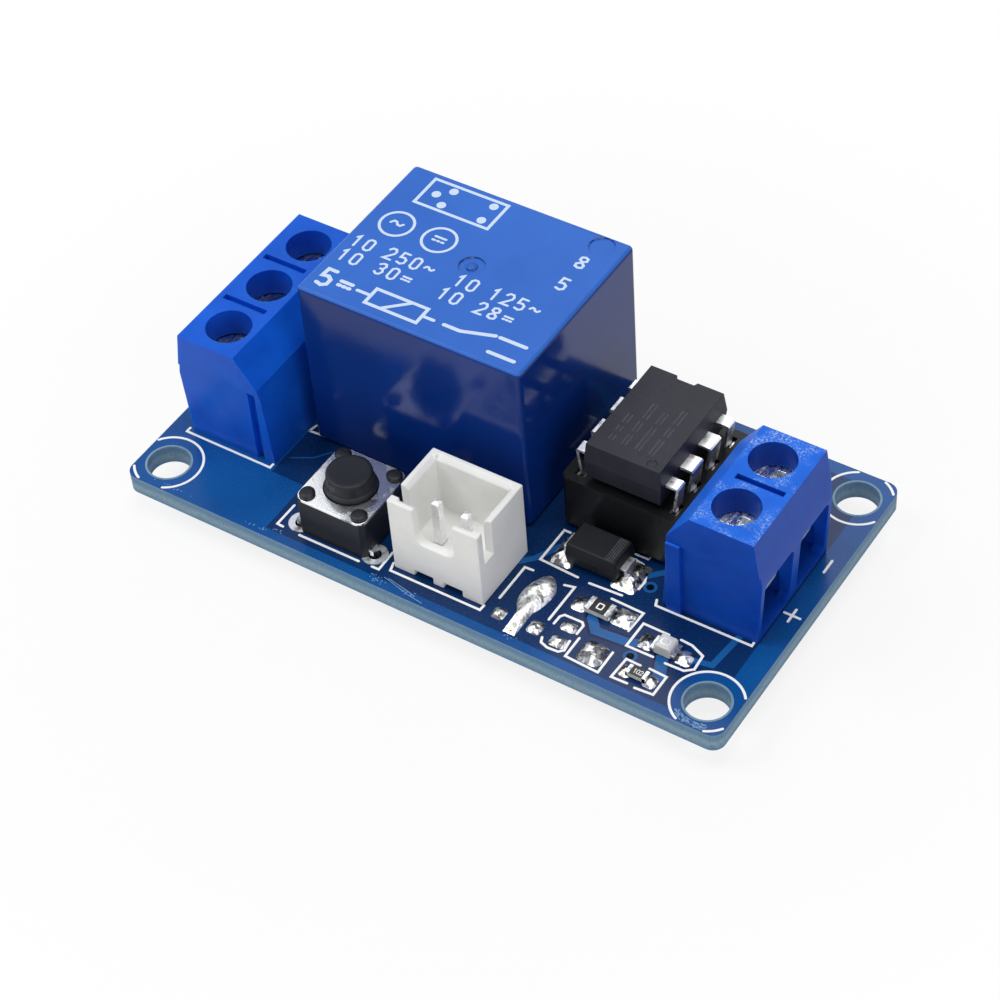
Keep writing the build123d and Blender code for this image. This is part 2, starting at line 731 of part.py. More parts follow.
def push_button():
    """A 6 mm push button: moulded body with four stakes, steel cover, plunger, dome and legs."""
    half = button_size / 2
    cavity = half - button_wall
    body = block(-half, half, -half, half, button_lift, plate_low)
    body = chamfer(body.edges().filter_by(Axis.Z), button_corner)
    body -= drum(0, 0, button_floor, plate_low, cavity)
    stake_at = half - stake_inset
    stakes = [(sx * stake_at, sy * stake_at) for sx in (-1, 1) for sy in (-1, 1)]
    stake_top = plate_high + stake_rise
    stake = tapered_stud(plate_low - stake_root, stake_top, stake_radius, stake_edge, stake_edge)
    for piece in at(stake, stakes):
        body += piece
    notch_y = leg_width / 2 + leg_fit
    for x, y in button_leads:
        side = math.copysign(1, x)
        notch_x = half - leg_root - leg_fit
        body -= block(min(side * notch_x, side * half), max(side * notch_x, side * half),
                      y - notch_y, y + notch_y, 0, leg_shelf + leg_thickness + leg_fit)
    save("button_housing", seat(body, button_x, button_y))

    shoulder_radius = plunger_radius + plunger_shoulder
    flange_radius = cavity - plunger_flange_gap
    plate = RectangleRounded(button_size, button_size, button_plate_corner)
    plate -= Circle(shoulder_radius + plunger_clearance)
    for x, y in stakes:
        plate -= Pos(x, y) * spot(stake_radius + stake_fit)
    save("button_cover_plate", seat(Pos(0, 0, plate_low) * extrude(plate, amount=button_plate_thickness),
                                    button_x, button_y))

    shoulder = plate_high + plunger_shoulder_height
    crown = plunger_height
    plunger = turned([(0, flange_low), (flange_radius, flange_low), (flange_radius, flange_high),
                      (shoulder_radius, flange_high), (shoulder_radius, shoulder),
                      (plunger_radius, shoulder + plunger_shoulder / 2), (plunger_radius, crown),
                      (plunger_radius - plunger_rim, crown), (0, crown - plunger_dish_depth)])
    save("button_plunger", seat(plunger, button_x, button_y))

    dome_radius = cavity - dome_gap
    cap = tapered_stud(dome_top - dome_rise - dome_thickness, dome_top, dome_radius, dome_rise,
                       dome_radius - dome_crown)
    save("button_snap_dome", seat(cap - Pos(0, 0, -dome_thickness) * cap, button_x, button_y))

    legs = []
    for x, y in button_leads:
        side = math.copysign(1, x)
        inner = half - leg_root
        outer = leg_x + leg_thickness / 2
        bend = leg_thickness / 2
        low = leg_shelf
        high = leg_shelf + leg_thickness
        knee = outer - leg_thickness
        profile = [(inner, low), (knee, low), (knee, tip_z), (outer, tip_z), (outer, low + bend),
                   (outer - bend, high), (inner, high)]
        leg = side_profile([(side * px, pz) for px, pz in profile], leg_width / 2)
        legs.append(Pos(0, y, 0) * leg)
    save("button_legs", seat(legs, button_x, button_y))


def shrouded_header():
    """The white header: open-topped shroud, low front wall with a window, two side slots."""
    half_x = header_length / 2
    half_y = header_width / 2
    shroud = block(-half_x, half_x, -half_y, half_y, 0, header_height)
    in_x = half_x - header_wall
    in_y = half_y - header_wall
    shroud -= block(-in_x, in_x, -in_y, in_y, header_floor, header_height)
    lead_in = header_lead_in
    for side in (-1, 1):
        bevel = [(side * in_x, header_height - lead_in), (side * in_x, header_height),
                 (side * (in_x + lead_in), header_height)]
        shroud -= side_profile(bevel, in_y)
        wedge = [(side * in_y, header_height - lead_in), (side * in_y, header_height),
                 (side * (in_y + lead_in), header_height)]
        shroud -= end_profile(wedge, -in_x, in_x)
    window = Pos(0, header_window_sill + header_height / 2) * RectangleRounded(
        header_window, header_height, header_window_radius)
    front_wall = block(-half_x, half_x, -2 * half_y, -in_y + 0.01, 0, 2 * header_height)
    shroud -= extrude(Plane.XZ * window, amount=2 * half_y) & front_wall
    slot_y = -half_y + header_wall
    for side in (-1, 1):
        shroud -= block(min(side * (in_x - 0.1), side * half_x), max(side * (in_x - 0.1), side * half_x),
                        slot_y, slot_y + header_slot_width, header_height - header_slot_depth, header_height)
    for x, _ in header_leads:
        shroud -= block(x - header_notch_width / 2, x + header_notch_width / 2, -half_y,
                        -half_y + header_notch_depth, 0, header_notch_height)
        pin_y = -half_y + header_pin_from_front
        hole = header_pin / 2 + header_pin_fit
        shroud -= block(x - hole, x + hole, pin_y - hole, pin_y + hole, 0, header_floor)
    save("header_housing", seat(shroud, header_x, header_y))

    half = header_pin / 2
    pin = block(-half, half, -half, half, tip_z, header_pin_height)
    pin = chamfer(pin.faces().sort_by(Axis.Z)[-1].edges(), header_pin_point)
    save("header_pins", seat([Pos(x, 0, 0) * pin for x, _ in header_leads], header_x, header_pin_y))


# Heights of the chip above the board's top face
chip_bottom = socket_height + chip_standoff
chip_top = chip_bottom + chip_thickness
parting = chip_bottom + chip_thickness / 2
lead_low = socket_height - lead_tail_length


def chip():
    """The moulded chip body, drafted both ways from its parting line, with its eight leads."""
    middle = Pos(0, 0, parting) * Rectangle(chip_body_width, chip_body_length)
    upper = extrude(middle, amount=chip_thickness / 2, taper=chip_draft_deg)
    lower = extrude(middle, amount=-chip_thickness / 2, taper=chip_draft_deg)
    body = upper + lower
    body -= drum(0, chip_body_length / 2, chip_top - chip_notch_depth, chip_top, chip_notch_radius)
    dimple_x = chip_body_width / 2 - chip_dimple_side_inset
    dimple_y = chip_dimple_end_inset - chip_body_length / 2
    body -= stud(dimple_x, dimple_y, chip_top - chip_dimple_depth, chip_top, chip_dimple_radius)
    side = chip_body_width / 2
    outer = chip_row_spacing / 2 + lead_thickness / 2
    inner = outer - lead_thickness
    low = parting - lead_thickness / 2
    high = parting + lead_thickness / 2
    leads = []
    for index, y in enumerate(chip_rows):
        first = index == 0
        last = index == len(chip_rows) - 1
        near = -lead_tail_width / 2 if first else -lead_shoulder_width / 2
        far = lead_tail_width / 2 if last else lead_shoulder_width / 2
        root = side - lead_root
        bend = make_face(Polyline((root, low), (inner + lead_splay, low), (inner, socket_height),
                                  (outer, socket_height), (outer + lead_splay, high), (root, high),
                                  close=True))
        bend = chamfer(bend.vertices().sort_by(Axis.X)[-2:].sort_by(Axis.Y)[-1:], lead_bend_cut)
        shoulder = Pos(0, far, 0) * extrude(Plane.XZ * bend, amount=far - near)
        tail = block(inner, outer, -lead_tail_width / 2, lead_tail_width / 2, lead_low, socket_height)
        lead = Pos(0, y, 0) * (shoulder + tail)
        leads += [lead, mirror(lead, about=Plane.YZ)]
    for lead in leads:
        body -= lead
    save("chip_body", seat(body, chip_x, chip_y))
    save("chip_leads", seat(leads, chip_x, chip_y))


def chip_socket():
    """The open-frame socket and its spring contacts, each with a tail through the board."""
    half_x = socket_width / 2
    half_y = socket_length / 2
    frame = block(-half_x, half_x, -half_y, half_y, socket_foot, socket_height)
    frame = chamfer(frame.edges().filter_by(Axis.Z), socket_corner)
    in_x = half_x - socket_rail_width
    in_y = half_y - socket_bridge
    frame -= block(-in_x, in_x, -in_y, in_y, 0, socket_height)
    frame -= drum(0, half_y, socket_height - socket_key_depth, socket_height, socket_key_radius)
    foot_x = half_x - socket_foot_margin - socket_foot_width / 2
    foot_y = half_y - socket_foot_margin - socket_foot_length / 2
    foot = Pos(0, 0, socket_foot / 2) * Box(socket_foot_width, socket_foot_length, socket_foot)
    for piece in at(foot, [(sx * foot_x, sy * foot_y) for sx in (-1, 1) for sy in (-1, 1)]):
        frame += piece
    gap = lead_thickness / 2 + contact_leaf_gap
    leaf_out = gap + contact_leaf
    leaf_top = socket_height - contact_leaf_drop
    leaf_low = leaf_top - contact_leaf_height
    floor = leaf_low - contact_leaf
    slot_x = leaf_out + socket_slot_fit
    tail_x = lead_thickness / 2 + socket_slot_fit
    tail_y = socket_tail_width / 2 + socket_slot_fit
    contacts = []
    for x, y in chip_leads:
        frame -= block(x - slot_x, x + slot_x, y - socket_slot_length / 2, y + socket_slot_length / 2,
                       floor - socket_floor_fit, socket_height)
        frame -= block(x - tail_x, x + tail_x, y - tail_y, y + tail_y, 0, floor)
        fork = side_profile([(-leaf_out, floor), (leaf_out, floor), (leaf_out, leaf_top), (gap, leaf_top),
                             (gap, leaf_low), (-gap, leaf_low), (-gap, leaf_top), (-leaf_out, leaf_top)],
                            contact_leaf_width / 2)
        fork += block(-lead_thickness / 2, lead_thickness / 2, -socket_tail_width / 2, socket_tail_width / 2,
                      tip_z, floor)
        contacts.append(Pos(x, y, 0) * fork)
    save("chip_socket_body", seat(frame, chip_x, chip_y))
    save("chip_socket_contacts", seat(contacts, chip_x, chip_y))


def power_diode():
    """A flat power diode: tapered body with its two leads folded under."""
    half_x = diode_length / 2
    t = diode_lead_thickness
    lift = diode_lead_lift
    fold = lift + t
    middle = fold + (diode_height - fold) * diode_waist
    waist = Pos(0, 0, middle) * Rectangle(diode_length, diode_width)
    body = extrude(waist, amount=diode_height - middle, taper=diode_draft_deg)
    body += extrude(waist, amount=fold - middle, taper=diode_draft_deg)
    reach = diode_lead_length / 2
    root = half_x - diode_lead_root
    foot = half_x - diode_lead_foot
    leads = []
    for side in (-1, 1):
        profile = [(foot, lift), (reach, lift), (reach, middle + t / 2), (root, middle + t / 2),
                   (root, middle - t / 2), (reach - t, middle - t / 2), (reach - t, fold), (foot, fold)]
        leads.append(side_profile([(side * x, z) for x, z in profile], diode_lead_width / 2))
    for lead in leads:
        body -= lead
    save("diode_body", seat(body, diode_x, diode_y))
    save("diode_leads", seat(leads, diode_x, diode_y))


resistor_sizes = [(resistor_length, resistor_width, resistor_thickness, resistor_cap),
                  (small_resistor_length, small_resistor_width, small_resistor_thickness,
                   small_resistor_cap)]


def chip_resistors():
    """A larger and a smaller chip resistor: ceramic body with a metal cap folded round each end."""
    low = chip_part_lift
    skin = resistor_cap_skin
    bodies = []
    ends = []
    for (x, y), (length, width, thickness, cap_length) in zip(resistor_places, resistor_sizes):
        half_x = length / 2
        half_y = width / 2
        high = low + thickness
        body = block(-half_x + skin, half_x - skin, -half_y, half_y, low + skin, high - skin)
        cap = block(half_x - cap_length, half_x, -half_y, half_y, low, high) - body
        bodies += seat(body, x, y)
        ends += seat([cap, mirror(cap, about=Plane.YZ)], x, y)
    save("resistor_bodies", bodies)
    save("resistor_terminals", ends)


def indicator_lamp():
    """The power lamp: white base, clear lens and two end terminals."""
    half_x = led_length / 2
    half_y = led_width / 2
    lift = chip_part_lift
    base = block(-half_x + led_cap, half_x - led_cap, -half_y, half_y, lift, lift + led_base_thickness)
    lens = block(-led_lens_length / 2, led_lens_length / 2, -half_y, half_y, 0, led_lens_height)
    lens = chamfer(lens.faces().sort_by(Axis.Z)[-1].edges().filter_by(Axis.Y), led_lens_corner)
    save("led_base", seat(base, led_x, led_y))
    save("led_lens", seat(Pos(0, 0, lift + led_base_thickness) * lens, led_x, led_y))
    end = block(half_x - led_cap, half_x, -half_y, half_y, lift, lift + led_base_thickness)
    save("led_terminals", seat([end, mirror(end, about=Plane.YZ)], led_x, led_y))


def driver_transistor():
    """The small transistor that switches the coil, under the chip in the open socket frame."""
    half_y = transistor_width / 2
    lift = transistor_lift
    middle = lift + transistor_height * transistor_waist
    waist = Pos(0, 0, middle) * Rectangle(transistor_length, transistor_width)
    body = extrude(waist, amount=lift + transistor_height - middle, taper=transistor_draft_deg)
    body += extrude(waist, amount=lift - middle, taper=transistor_draft_deg)
    t = transistor_lead_thickness
    reach = half_y + transistor_lead_reach
    root = half_y - transistor_lead_root
    knee = half_y + transistor_lead_shoulder
    leads = []
    for x, side in ((-transistor_pitch / 2, -1), (transistor_pitch / 2, -1), (0, 1)):
        points = [(root, middle - t / 2), (knee, middle - t / 2), (knee, lift), (reach, lift),
                  (reach, lift + t), (knee + t, lift + t), (knee + t, middle + t / 2), (root, middle + t / 2)]
        leads.append(end_profile([(side * y, z) for y, z in points], x - transistor_lead_width / 2,
                                 x + transistor_lead_width / 2))
    for lead in leads:
        body -= lead
    save("transistor_body", seat(body, transistor_x, transistor_y))
    save("transistor_leads", seat(leads, transistor_x, transistor_y))


def underside_solder():
    """A solder cone round every lead under the board, open where the lead passes."""
    joints = []
    for (x, y), (size_x, size_y) in drilled:
        foot = math.hypot(size_x, size_y) / 2 + joint_neck + joint_foot
        cone = tapered_stud(0, -joint_height, foot, joint_height - joint_rim, joint_foot, cone_sides)
        half_x = size_x / 2 + joint_clearance
        half_y = size_y / 2 + joint_clearance
        cone -= block(-half_x, half_x, -half_y, half_y, -joint_height, 0)
        joints.append(Pos(x, y, 0) * cone)
    save("underside_solder", joints)


def top_solder():
    """Wetted pads on top: fillets at the small parts and the blobs on the empty pads."""

    def wet(outline, x, y, height):
        return Pos(x, y, top) * extrude(outline, amount=height, taper=pad_slope_deg)

    def oval(half_x, half_y):
        turns = [2 * math.pi * i / blob_sides for i in range(blob_sides)]
        return make_face(Polyline(*[(half_x * math.cos(a), half_y * math.sin(a)) for a in turns], close=True))

    solder = []
    pads = [(diode_x, diode_y, diode_lead_length / 2 + diode_pad_gap, diode_pad_length, diode_pad_width,
             diode_pad_height),
            (led_x, led_y, led_length / 2 + led_pad_gap, led_pad_length, pad_width, wet_pad_height)]
    for (x, y), (part_length, *_) in zip(resistor_places, resistor_sizes):
        offset = part_length / 2 + resistor_pad_gap
        pads.append((x, y, offset, resistor_pad_length, pad_width, wet_pad_height))
    for x, y, offset, length, width, height in pads:
        for side in (-1, 1):
            solder.append(wet(Rectangle(length, width), x + side * offset, y, height))
    for (x, y), (length, width), height in round_blobs:
        solder.append(wet(oval(length / 2, width / 2), x, y, height))
    (x, y), (length, width), height = bridge_stem
    solder.append(wet(Rectangle(length, width), x, y, height))
    for x, y in small_pads:
        solder.append(wet(Rectangle(small_pad_size, small_pad_size), x, y, small_pad_height))
    save("top_solder", solder)


circuit_board()
relay_housing()
relay_magnet()
relay_contacts()
terminal_block("output", output_ways, output_x, output_y, 0)
terminal_block("power", power_ways, power_x, power_y, 180)
push_button()
shrouded_header()
chip()
chip_socket()
power_diode()
chip_resistors()
indicator_lamp()
driver_transistor()
underside_solder()
top_solder()
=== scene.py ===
"""Relay module board: camera, light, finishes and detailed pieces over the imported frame.

All places are the board's own, with the origin between its mounting holes on the underside.
Lengths are written in millimetres and made metres in one place, MM.
"""
import functools
import json
import math

import bmesh
import bpy
import numpy as np
from mathutils import Matrix, Vector

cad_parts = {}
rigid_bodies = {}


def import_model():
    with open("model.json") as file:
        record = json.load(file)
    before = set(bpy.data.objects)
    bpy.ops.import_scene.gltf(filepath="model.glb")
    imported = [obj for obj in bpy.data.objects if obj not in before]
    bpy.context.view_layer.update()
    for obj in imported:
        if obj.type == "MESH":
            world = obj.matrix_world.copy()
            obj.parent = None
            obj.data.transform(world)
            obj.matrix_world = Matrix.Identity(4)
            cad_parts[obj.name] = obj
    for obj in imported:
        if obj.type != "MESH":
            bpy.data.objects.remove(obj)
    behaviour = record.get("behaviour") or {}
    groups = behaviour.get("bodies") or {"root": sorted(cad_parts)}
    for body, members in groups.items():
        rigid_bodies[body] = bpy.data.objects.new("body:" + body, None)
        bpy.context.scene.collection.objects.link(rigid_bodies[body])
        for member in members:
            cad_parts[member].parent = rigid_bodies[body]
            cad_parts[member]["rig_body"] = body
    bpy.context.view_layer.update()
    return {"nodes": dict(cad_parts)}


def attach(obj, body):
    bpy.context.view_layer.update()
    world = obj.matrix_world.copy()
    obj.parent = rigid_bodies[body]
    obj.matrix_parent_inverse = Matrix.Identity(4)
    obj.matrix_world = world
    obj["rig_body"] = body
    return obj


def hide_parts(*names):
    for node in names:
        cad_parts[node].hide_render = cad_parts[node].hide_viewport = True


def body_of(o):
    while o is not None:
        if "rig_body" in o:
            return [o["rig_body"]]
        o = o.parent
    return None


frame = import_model()

MM = 0.001
TAU = 2 * math.pi

# Heights of the board's faces and of the floor under the lead tips
BOARD_TOP = 1.6
BOARD_BOTTOM = 0.0
FLOOR = -1.9

# Camera: place and aim in millimetres, roll in degrees, and field of view as a lens on a 36 mm sensor
CAMERA_PLACE = (84.44, -116.11, 150.52)
CAMERA_AIM = (2.513, -4.591, 5.0)
CAMERA_ROLL = -4.995
CAMERA_LENS = 100.87


# Nodes and colours

def linear(code):
    """Linear colour of an sRGB hex code: each channel goes through the sRGB transfer curve."""
    srgb = np.array([int(code[i:i + 2], 16) for i in (1, 3, 5)]) / 255
    channels = np.where(srgb <= 0.04045, srgb / 12.92, ((srgb + 0.055) / 1.055) ** 2.4)
    return (*channels.tolist(), 1.0)


def add_node(tree, kind, feeds=(), out=0, **settings):
    """Adds one node and gives one of its outputs. settings are its properties, and feeds fill its inputs,
    by name or in their order, with values, hex colours or outputs of other nodes."""
    node = tree.nodes.new("ShaderNode" + kind)
    for key, value in settings.items():
        setattr(node, key, value)
    for key, value in feeds.items() if isinstance(feeds, dict) else enumerate(feeds):
        if isinstance(value, bpy.types.NodeSocket):
            tree.links.new(value, node.inputs[key])
        else:
            node.inputs[key].default_value = linear(value) if isinstance(value, str) else value
    return node.outputs[out] if node.outputs else None


# A mix of colours: its inputs are 0, 6 and 7, where one of numbers has 0, 2 and 3
COLOURS = {"out": 2, "data_type": "RGBA"}
# The bands of a wave pattern lie this far apart at scale 1
WAVE = TAU / 20


def sized(place, size, **more):
    """Inputs of a pattern whose features are size millimetres across."""
    return {"Vector": place, "Scale": 1 / (size * MM), **more}


def blank(name):
    """A material without nodes, what adds a node to it, and the object's own coordinates."""
    material = bpy.data.materials.new(name)
    material.use_nodes = True
    material.node_tree.nodes.clear()
    add = functools.partial(add_node, material.node_tree)
    return material, add, add("TexCoord", out="Object")


def surface(add, colour, rough, relief, more):
    """Ends a material. relief has pairs of a height and its depth in millimetres, each bump laid over the
    one before, and more has the shader's other inputs."""
    normal = {}
    for height, depth in relief:
        normal = {"Normal": add("Bump", {"Height": height, "Distance": depth * MM, **normal})}
    shader = add("BsdfPrincipled", {"Base Color": colour, "Roughness": rough, **normal, **more})
    add("OutputMaterial", {"Surface": shader})


def moulded(name, main, shade, gloss, specular=0.3, grain=0.1, depth=0.005, flow=2.0, flow_depth=0.01,
            soft=0.0, glow=(0.2, 0.5, 1.4), worn=None, worn_above=0.0):
    """Injection-moulded plastic. Colour drifts between main and shade over the flow size, a fine grain
    roughens the skin, and worn, where given, rubs pale specks through on faces that look up and lie
    higher than worn_above. A share soft of the light goes into the plastic, glow millimetres deep for
    red, green and blue."""
    material, add, place = blank(name)
    drift = add("TexNoise", sized(place, flow, Detail=3.0))
    fine = add("TexNoise", sized(place, grain, Detail=2.0))
    tint = add("MapRange", [drift, 0.3, 0.7])
    colour = add("Mix", {0: tint, 6: main, 7: shade}, **COLOURS)
    rough = add("MapRange", [fine, 0.25, 0.75, gloss * 0.75, gloss * 1.25])
    if worn:
        patches = add("TexNoise", sized(place, 1.8, Detail=1.0))
        specks = add("TexNoise", sized(place, 0.15, Detail=6.0, Roughness=0.7))
        facing = add("SeparateXYZ", [add("TexCoord", out="Normal")], out="Z")
        height = add("SeparateXYZ", [place], out="Z")
        mask = add("Math", [height, worn_above * MM], operation="GREATER_THAN")
        for limits in ([facing, 0.75, 0.95], [patches, 0.445, 0.66], [specks, 0.48, 0.66, 0.0, 0.85]):
            mask = add("Math", [mask, add("MapRange", limits)], operation="MULTIPLY")
        colour = add("Mix", {0: mask, 6: colour, 7: worn}, **COLOURS)
        rough = add("Mix", {0: mask, 2: rough, 3: 0.75})
    more = {"IOR": 1.5, "Specular IOR Level": specular}
    if soft:
        more |= {"Subsurface Weight": soft, "Subsurface Radius": glow, "Subsurface Scale": MM}
    surface(add, colour, rough, [(drift, flow_depth), (fine, depth)], more)
    return material


def metal(name, main, shade, gloss, grain=0.3, depth=0.01, streak=(1, 1, 1), spread=0.4, stain=None):
    """Plated, drawn or stamped metal. The grain stretches by streak along the rolling direction, the
    polish varies with it, and stain, where given, dulls patches of a millimetre or so."""
    material, add, place = blank(name)
    turned = add("Mapping", {"Vector": place, "Scale": streak})
    fine = add("TexNoise", sized(turned, grain, Detail=4.0, Roughness=0.6))
    colour = add("Mix", {0: fine, 6: main, 7: shade}, **COLOURS)
    rough = add("MapRange", [fine, 0.3, 0.7, gloss * (1 - spread), gloss * (1 + spread)])
    if stain:
        spots = add("MapRange", [add("TexNoise", sized(place, 1.3, Detail=3.0)), 0.55, 0.68])
        colour = add("Mix", {0: spots, 6: colour, 7: stain}, **COLOURS)
        rough = add("Mix", {0: spots, 2: rough, 3: 0.55})
    surface(add, colour, rough, [(fine, depth)], {"Metallic": 1.0})
    return material


def solder_mask_over(name, main, shade):
    """Cured blue solder mask on glass cloth: a glossy wet film whose colour drifts slowly, specked with
    dust, with the weave of the cloth faintly printed through as two crossed sine waves. They are drawn
    1.57 mm apart, which is three times as coarse as the cloth, to show at all."""
    material, add, place = blank(name)
    drift = add("TexNoise", sized(place, 7.0, Detail=2.0))
    fine = add("TexNoise", sized(place, 0.12, Detail=3.0))
    dust = add("TexNoise", sized(place, 0.35, Detail=8.0, Roughness=0.75))
    tint = add("MapRange", [drift, 0.35, 0.65])
    base = add("Mix", {0: tint, 6: main, 7: shade}, **COLOURS)
    dusty = add("MapRange", [dust, 0.66, 0.76, 0.0, 0.2])
    colour = add("Mix", {0: dusty, 6: base, 7: "#6f9cc8"}, **COLOURS)
    threads = sized(place, 1.5708 / WAVE, Distortion=0.4)
    cloth = add("Math", [add("TexWave", threads, out="Fac", bands_direction=way) for way in "XY"])
    rough = add("MapRange", [fine, 0.3, 0.7, 0.18, 0.3])
    surface(add, colour, rough, [(cloth, 0.002), (fine, 0.002)], {"IOR": 1.5, "Specular IOR Level": 0.22})
    return material


def glass_cloth_edge():
    """Sawn edge of glass-fibre laminate: pale blue-grey, frayed and matt. Its layers are drawn 1.26 mm
    apart, as the real ones of 0.2 mm would be too fine to show."""
    material, add, place = blank("glass_fibre_laminate_edge")
    bands = sized(place, 1.2566 / WAVE, Distortion=1.2, Detail=2.0) | {"Detail Scale": 2.0}
    layers = add("TexWave", bands, out="Fac", bands_direction="Z")
    fray = add("TexNoise", sized(place, 0.25, Detail=5.0, Roughness=0.7))
    cut = add("Mix", {0: layers, 6: "#668bac", 7: "#8aa5b4"}, **COLOURS)
    frayed = add("MapRange", [fray, 0.45, 0.7, 0.0, 0.6])
    colour = add("Mix", {0: frayed, 6: cut, 7: "#4d7290"}, **COLOURS)
    surface(add, colour, 0.7, [(fray, 0.03)], {"IOR": 1.5, "Specular IOR Level": 0.3})
    return material


def printed_ink(name, main, thin, cover=0.85):
    """Screen-printed ink: off-white, matt, slightly starved so that the ground tints it in places."""
    material, add, place = blank(name)
    mesh_marks = add("TexNoise", sized(place, 0.18, Detail=4.0, Roughness=0.65))
    starved = add("MapRange", [mesh_marks, cover - 0.25, cover, 0.0, 0.6])
    colour = add("Mix", {0: starved, 6: main, 7: thin}, **COLOURS)
    surface(add, colour, 0.55, [(mesh_marks, 0.006)], {"IOR": 1.48, "Specular IOR Level": 0.3})
    return material


def frosted_solder(name, gloss, shine=0.5, facet_size=0.55):
    """Hand-run solder: bright facets beside dark ones, whose dark colour is a painted reflection of dark
    surroundings, browned by flux in spots, under a fine crystal skin. A larger shine leaves fewer painted
    dark reflections."""
    material, add, place = blank(name)
    crystals = add("TexVoronoi", sized(place, 0.35))
    wrinkle = add("TexNoise", sized(place, 0.5, Detail=5.0, Distortion=1.0))
    facet = add("TexNoise", sized(place, facet_size, Detail=1.0, Distortion=0.6))
    flux = add("MapRange", [wrinkle, 0.48, 0.6])
    pale = add("Mix", {0: flux, 6: "#f2f4f6", 7: "#aba99f"}, **COLOURS)
    # Dark facets: painted reflections of the dark surroundings
    dark_reflection = add("MapRange", [facet, 0.5 + shine / 8, 0.56 + shine / 8, 0.0, 0.85])
    colour = add("Mix", {0: dark_reflection, 6: pale, 7: "#34363e"}, **COLOURS)
    rough = add("MapRange", [crystals, 0.0, 1.0, gloss, gloss * 2.2])
    surface(add, colour, rough, [(wrinkle, 0.06), (crystals, 0.012)], {"Metallic": 1.0})
    return material


def enamelled_winding():
    """Coil of enamelled copper wire: amber-brown turns as ribs one above another. They are drawn 0.63 mm
    apart, as the real wire of 0.1 mm would be too fine to show."""
    material, add, place = blank("enamelled_copper_winding")
    turns = add("TexWave", sized(place, 0.62832 / WAVE, Distortion=0.3), out="Fac", bands_direction="Z")
    colour = add("Mix", {0: turns, 6: "#5d2412", 7: "#b5562c"}, **COLOURS)
    surface(add, colour, 0.3, [(turns, 0.05)], {"Metallic": 0.6, "Coat Weight": 0.5, "Coat Roughness": 0.15})
    return material


def lamp_epoxy():
    """Clear casting epoxy of the lamp's lens, milky so that light glows inside it."""
    material, add, place = blank("clear_casting_epoxy")
    haze = add("TexNoise", sized(place, 0.4, Detail=3.0))
    colour = add("Mix", {0: haze, 6: "#fbfcfa", 7: "#e9ece6"}, **COLOURS)
    rough = add("MapRange", [haze, 0.0, 1.0, 0.05, 0.25])
    surface(add, colour, rough, [(haze, 0.01)],
            {"IOR": 1.54, "Transmission Weight": 0.25, "Subsurface Weight": 0.4,
             "Subsurface Radius": (0.4, 0.4, 0.4), "Subsurface Scale": MM})
    return material


# Finishes, each named for the real material

MASK = solder_mask_over("blue_solder_mask", "#0a3264", "#082b5a")
MASK_ON_COPPER = solder_mask_over("blue_mask_over_copper", "#0c5399", "#0a488b")
MASK_ON_TRACK = solder_mask_over("blue_mask_over_track", "#1d64a6", "#185898")
MASK_GAP = solder_mask_over("blue_mask_in_track_gap", "#0d1a48", "#0b1640")
SCRATCH = printed_ink("scratched_mask", "#8fb6dc", "#4379b2", cover=0.62)
EDGE = glass_cloth_edge()
SILK = printed_ink("white_board_ink", "#ffffff", "#c4d6ea")
RELAY_INK = printed_ink("white_pad_printed_ink", "#cfe0f8", "#7fa3dc")
# Polyester cover: polished walls with faint sink waves in deep blue; the etched top is matt, and its paler
# colour is a painted sheen of the light from above
RELAY_WALL = moulded("polished_blue_polyester", "#0b3486", "#0a2e78", gloss=0.13, specular=0.22, grain=0.25,
                     depth=0.0015, flow=6.0, flow_depth=0.03)
RELAY_SHEEN_TOP = moulded("etched_blue_polyester_painted_sheen", "#326ccc", "#2c65c2", gloss=0.42, specular=0.2, grain=0.12,
                       depth=0.003, flow=5.0)
# Satin polyamide of the three-way block: saturated blue, slightly translucent, fine spark grain
OUTPUT_BLUE = moulded("satin_blue_polyamide", "#1262da", "#0f57ca", gloss=0.34, specular=0.15, depth=0.004,
                      flow=2.5, soft=0.35)
# The two-way block's polyamide, and its faces that look up, painted paler as painted light falling on the
# block's top, and specked pale where handling rubbed them
POWER_BLUE = moulded("blue_polyamide_sides", "#0e4cb8", "#0c43aa", gloss=0.34, specular=0.1, soft=0.35)
RUBBED_LIT_BLUE = moulded("rubbed_blue_polyamide_painted_light", "#2470e6", "#1c64da", gloss=0.42, specular=0.1, flow=1.5,
                      worn="#bcd6fb", worn_above=11.4)
# White nylon header: matt, milky, light passes a little way into it
MILKY = (0.6, 0.6, 0.5)
NYLON = moulded("white_nylon", "#f7f7f4", "#f0f0ed", gloss=0.45, grain=0.12, depth=0.003, flow=2.5, soft=0.3,
                glow=MILKY)
# Black glass-filled plastics: button body, plunger and socket
BUTTON_BLACK = moulded("black_moulded_phenolic", "#161922", "#111319", gloss=0.45, flow=1.5)
PLUNGER_BLACK = moulded("black_matt_plunger_plastic", "#1a1d27", "#14171e", gloss=0.5, grain=0.09,
                        depth=0.006, flow=1.5)
SOCKET_BLACK = moulded("black_socket_polyester", "#101214", "#0b0c0e", gloss=0.4, specular=0.25, grain=0.12)
# Chip and diode epoxy: dark grey, matt, sandy from its silica filler
CHIP_EPOXY = moulded("filled_chip_epoxy", "#20212d", "#1a1b26", gloss=0.5, grain=0.09, depth=0.008)
DIODE_EPOXY = moulded("filled_diode_epoxy", "#14171b", "#101216", gloss=0.5, grain=0.09, depth=0.008,
                      flow=1.2)
LASER_MARK = moulded("laser_marked_epoxy", "#4f5059", "#3e3f48", gloss=0.7, specular=0.2, depth=0.004,
                     flow=0.6)
